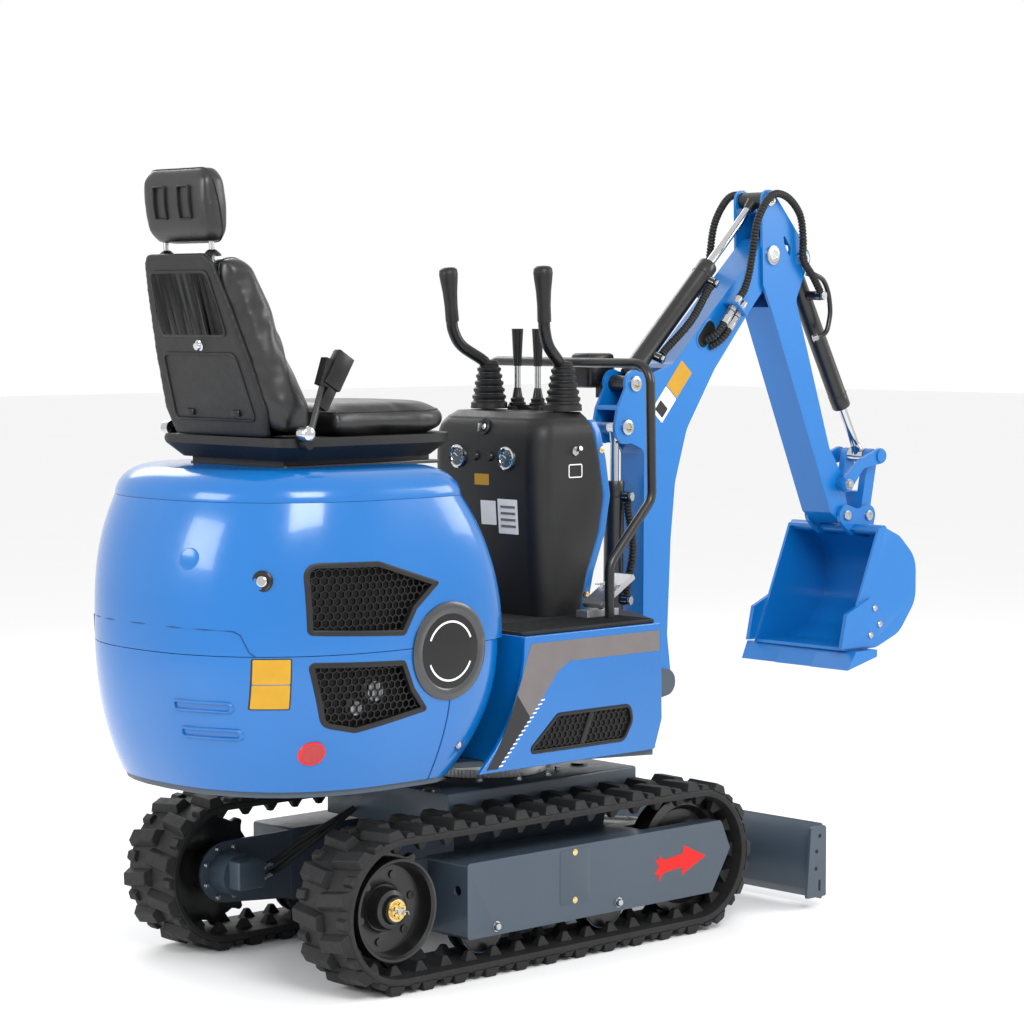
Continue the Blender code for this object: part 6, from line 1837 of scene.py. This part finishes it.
# ---------------------------------------------------------------- add-on
class ExcavatorSettings(bpy.types.PropertyGroup):
    """Sizes and colours a user may want to change."""
    body_colour: bpy.props.FloatVectorProperty(
        name="Body colour", description="Colour of the hood's enamel", subtype="COLOR", size=3, min=0.0,
                                               max=1.0,
        default=(0.0005, 0.125, 0.41))
    boom_colour: bpy.props.FloatVectorProperty(
        name="Boom colour", description="Colour of the enamel on the boom, arm and bucket", subtype="COLOR",
                                               size=3,
        min=0.0, max=1.0, default=(0.002, 0.150, 0.47))
    slate_colour: bpy.props.FloatVectorProperty(
        name="Undercarriage colour", description="Colour of the enamel on the undercarriage and blade",
        subtype="COLOR", size=3, min=0.0, max=1.0, default=(0.045, 0.066, 0.092))
    cushion_pressure: bpy.props.FloatProperty(
        name="Cushion pressure", description="How hard the seat's padding is pumped up", default=4.0, min=0.0,
        max=20.0)
    cushion_step: bpy.props.FloatProperty(
        name="Cushion step", description="Size of the padding's mesh cells", default=0.0055, min=0.003,
                                          max=0.02,
        unit="LENGTH", subtype="DISTANCE")
    sky_strength: bpy.props.FloatProperty(
        name="Sky strength", description="Brightness of the even light from all round", default=1.0, min=0.0,
        max=5.0)
    key_power: bpy.props.FloatProperty(
        name="Key power", description="Power of the main soft light in watts", default=210.0, min=0.0,
                                       max=5000.0)
    lens_mm: bpy.props.FloatProperty(
        name="Lens", description="Focal length of the view in millimetres", default=102.84, min=10.0,
                                     max=400.0)


def settings_of(context):
    """The scene's own settings."""
    return context.scene.excavator


class EXCAVATOR_OT_finishes(bpy.types.Operator):
    """Makes every finish"""
    bl_idname = "excavator.finishes"
    bl_label = "Finishes"

    def execute(self, context):
        build_finishes(settings_of(context))
        return {"FINISHED"}


class EXCAVATOR_OT_stage(bpy.types.Operator):
    """Sets the floor, the lights and the camera"""
    bl_idname = "excavator.stage"
    bl_label = "Stage"

    def execute(self, context):
        build_stage(settings_of(context))
        return {"FINISHED"}


class EXCAVATOR_OT_undercarriage(bpy.types.Operator):
    """Builds the tracks, wheels, frames, motors and slew ring"""
    bl_idname = "excavator.undercarriage"
    bl_label = "Undercarriage"

    def execute(self, context):
        for side, word in SIDES:
            build_track(side, word)
            build_sprocket(side, word)
            build_track_frame(side, word)
            build_idler(side, word)
            build_travel_motor(side, word)
        build_slewing()
        return {"FINISHED"}


class EXCAVATOR_OT_blade(bpy.types.Operator):
    """Builds the dozer blade and its cylinder"""
    bl_idname = "excavator.blade"
    bl_label = "Dozer blade"

    def execute(self, context):
        build_blade()
        return {"FINISHED"}


class EXCAVATOR_OT_hood(bpy.types.Operator):
    """Builds the hood, the seat deck and the house's deck"""
    bl_idname = "excavator.hood"
    bl_label = "Hood"

    def execute(self, context):
        build_hood()
        build_hood_details()
        return {"FINISHED"}


class EXCAVATOR_OT_platform(bpy.types.Operator):
    """Builds the platform, the skirts and the mat"""
    bl_idname = "excavator.platform"
    bl_label = "Platform and skirts"

    def execute(self, context):
        build_platform()
        return {"FINISHED"}


class EXCAVATOR_OT_console(bpy.types.Operator):
    """Builds the console, its gauges and buttons, the handrail and the controls"""
    bl_idname = "excavator.console"
    bl_label = "Console and controls"

    def execute(self, context):
        build_console()
        build_controls()
        return {"FINISHED"}


class EXCAVATOR_OT_seat(bpy.types.Operator):
    """Builds the seat's soft pads, its covers and its belt buckles"""
    bl_idname = "excavator.seat"
    bl_label = "Seat"

    def execute(self, context):
        build_seat(settings_of(context))
        return {"FINISHED"}


class EXCAVATOR_OT_boom(bpy.types.Operator):
    """Builds the boom, the arm, their cylinders and hoses"""
    bl_idname = "excavator.boom"
    bl_label = "Boom and arm"

    def execute(self, context):
        build_boom()
        build_arm()
        build_pipes()
        build_hoses()
        return {"FINISHED"}


class EXCAVATOR_OT_bucket(bpy.types.Operator):
    """Builds the bucket, its linkage and its edge plates"""
    bl_idname = "excavator.bucket"
    bl_label = "Bucket"

    def execute(self, context):
        build_bucket()
        return {"FINISHED"}


STEPS = (EXCAVATOR_OT_finishes, EXCAVATOR_OT_stage, EXCAVATOR_OT_undercarriage, EXCAVATOR_OT_blade,
         EXCAVATOR_OT_hood, EXCAVATOR_OT_platform, EXCAVATOR_OT_console, EXCAVATOR_OT_seat, EXCAVATOR_OT_boom,
         EXCAVATOR_OT_bucket)


class EXCAVATOR_PT_panel(bpy.types.Panel):
    """Lists the steps and the settings"""
    bl_idname = "EXCAVATOR_PT_panel"
    bl_label = "Excavator"
    bl_space_type = "VIEW_3D"
    bl_region_type = "UI"
    bl_category = "Excavator"

    def draw(self, context):
        for step in STEPS:
            self.layout.operator(step.bl_idname)
        for name in ExcavatorSettings.__annotations__:
            self.layout.prop(settings_of(context), name)


def register():
    for one in (ExcavatorSettings, *STEPS, EXCAVATOR_PT_panel):
        bpy.utils.register_class(one)
    bpy.types.Scene.excavator = bpy.props.PointerProperty(type=ExcavatorSettings)


def unregister():
    del bpy.types.Scene.excavator
    for one in reversed((ExcavatorSettings, *STEPS, EXCAVATOR_PT_panel)):
        bpy.utils.unregister_class(one)


def main():
    register()
    bpy.ops.excavator.finishes()
    bpy.ops.excavator.stage()
    bpy.ops.excavator.undercarriage()
    bpy.ops.excavator.blade()
    bpy.ops.excavator.hood()
    bpy.ops.excavator.platform()
    bpy.ops.excavator.console()
    bpy.ops.excavator.seat()
    bpy.ops.excavator.boom()
    bpy.ops.excavator.bucket()


if __name__ == "__main__":
    main()
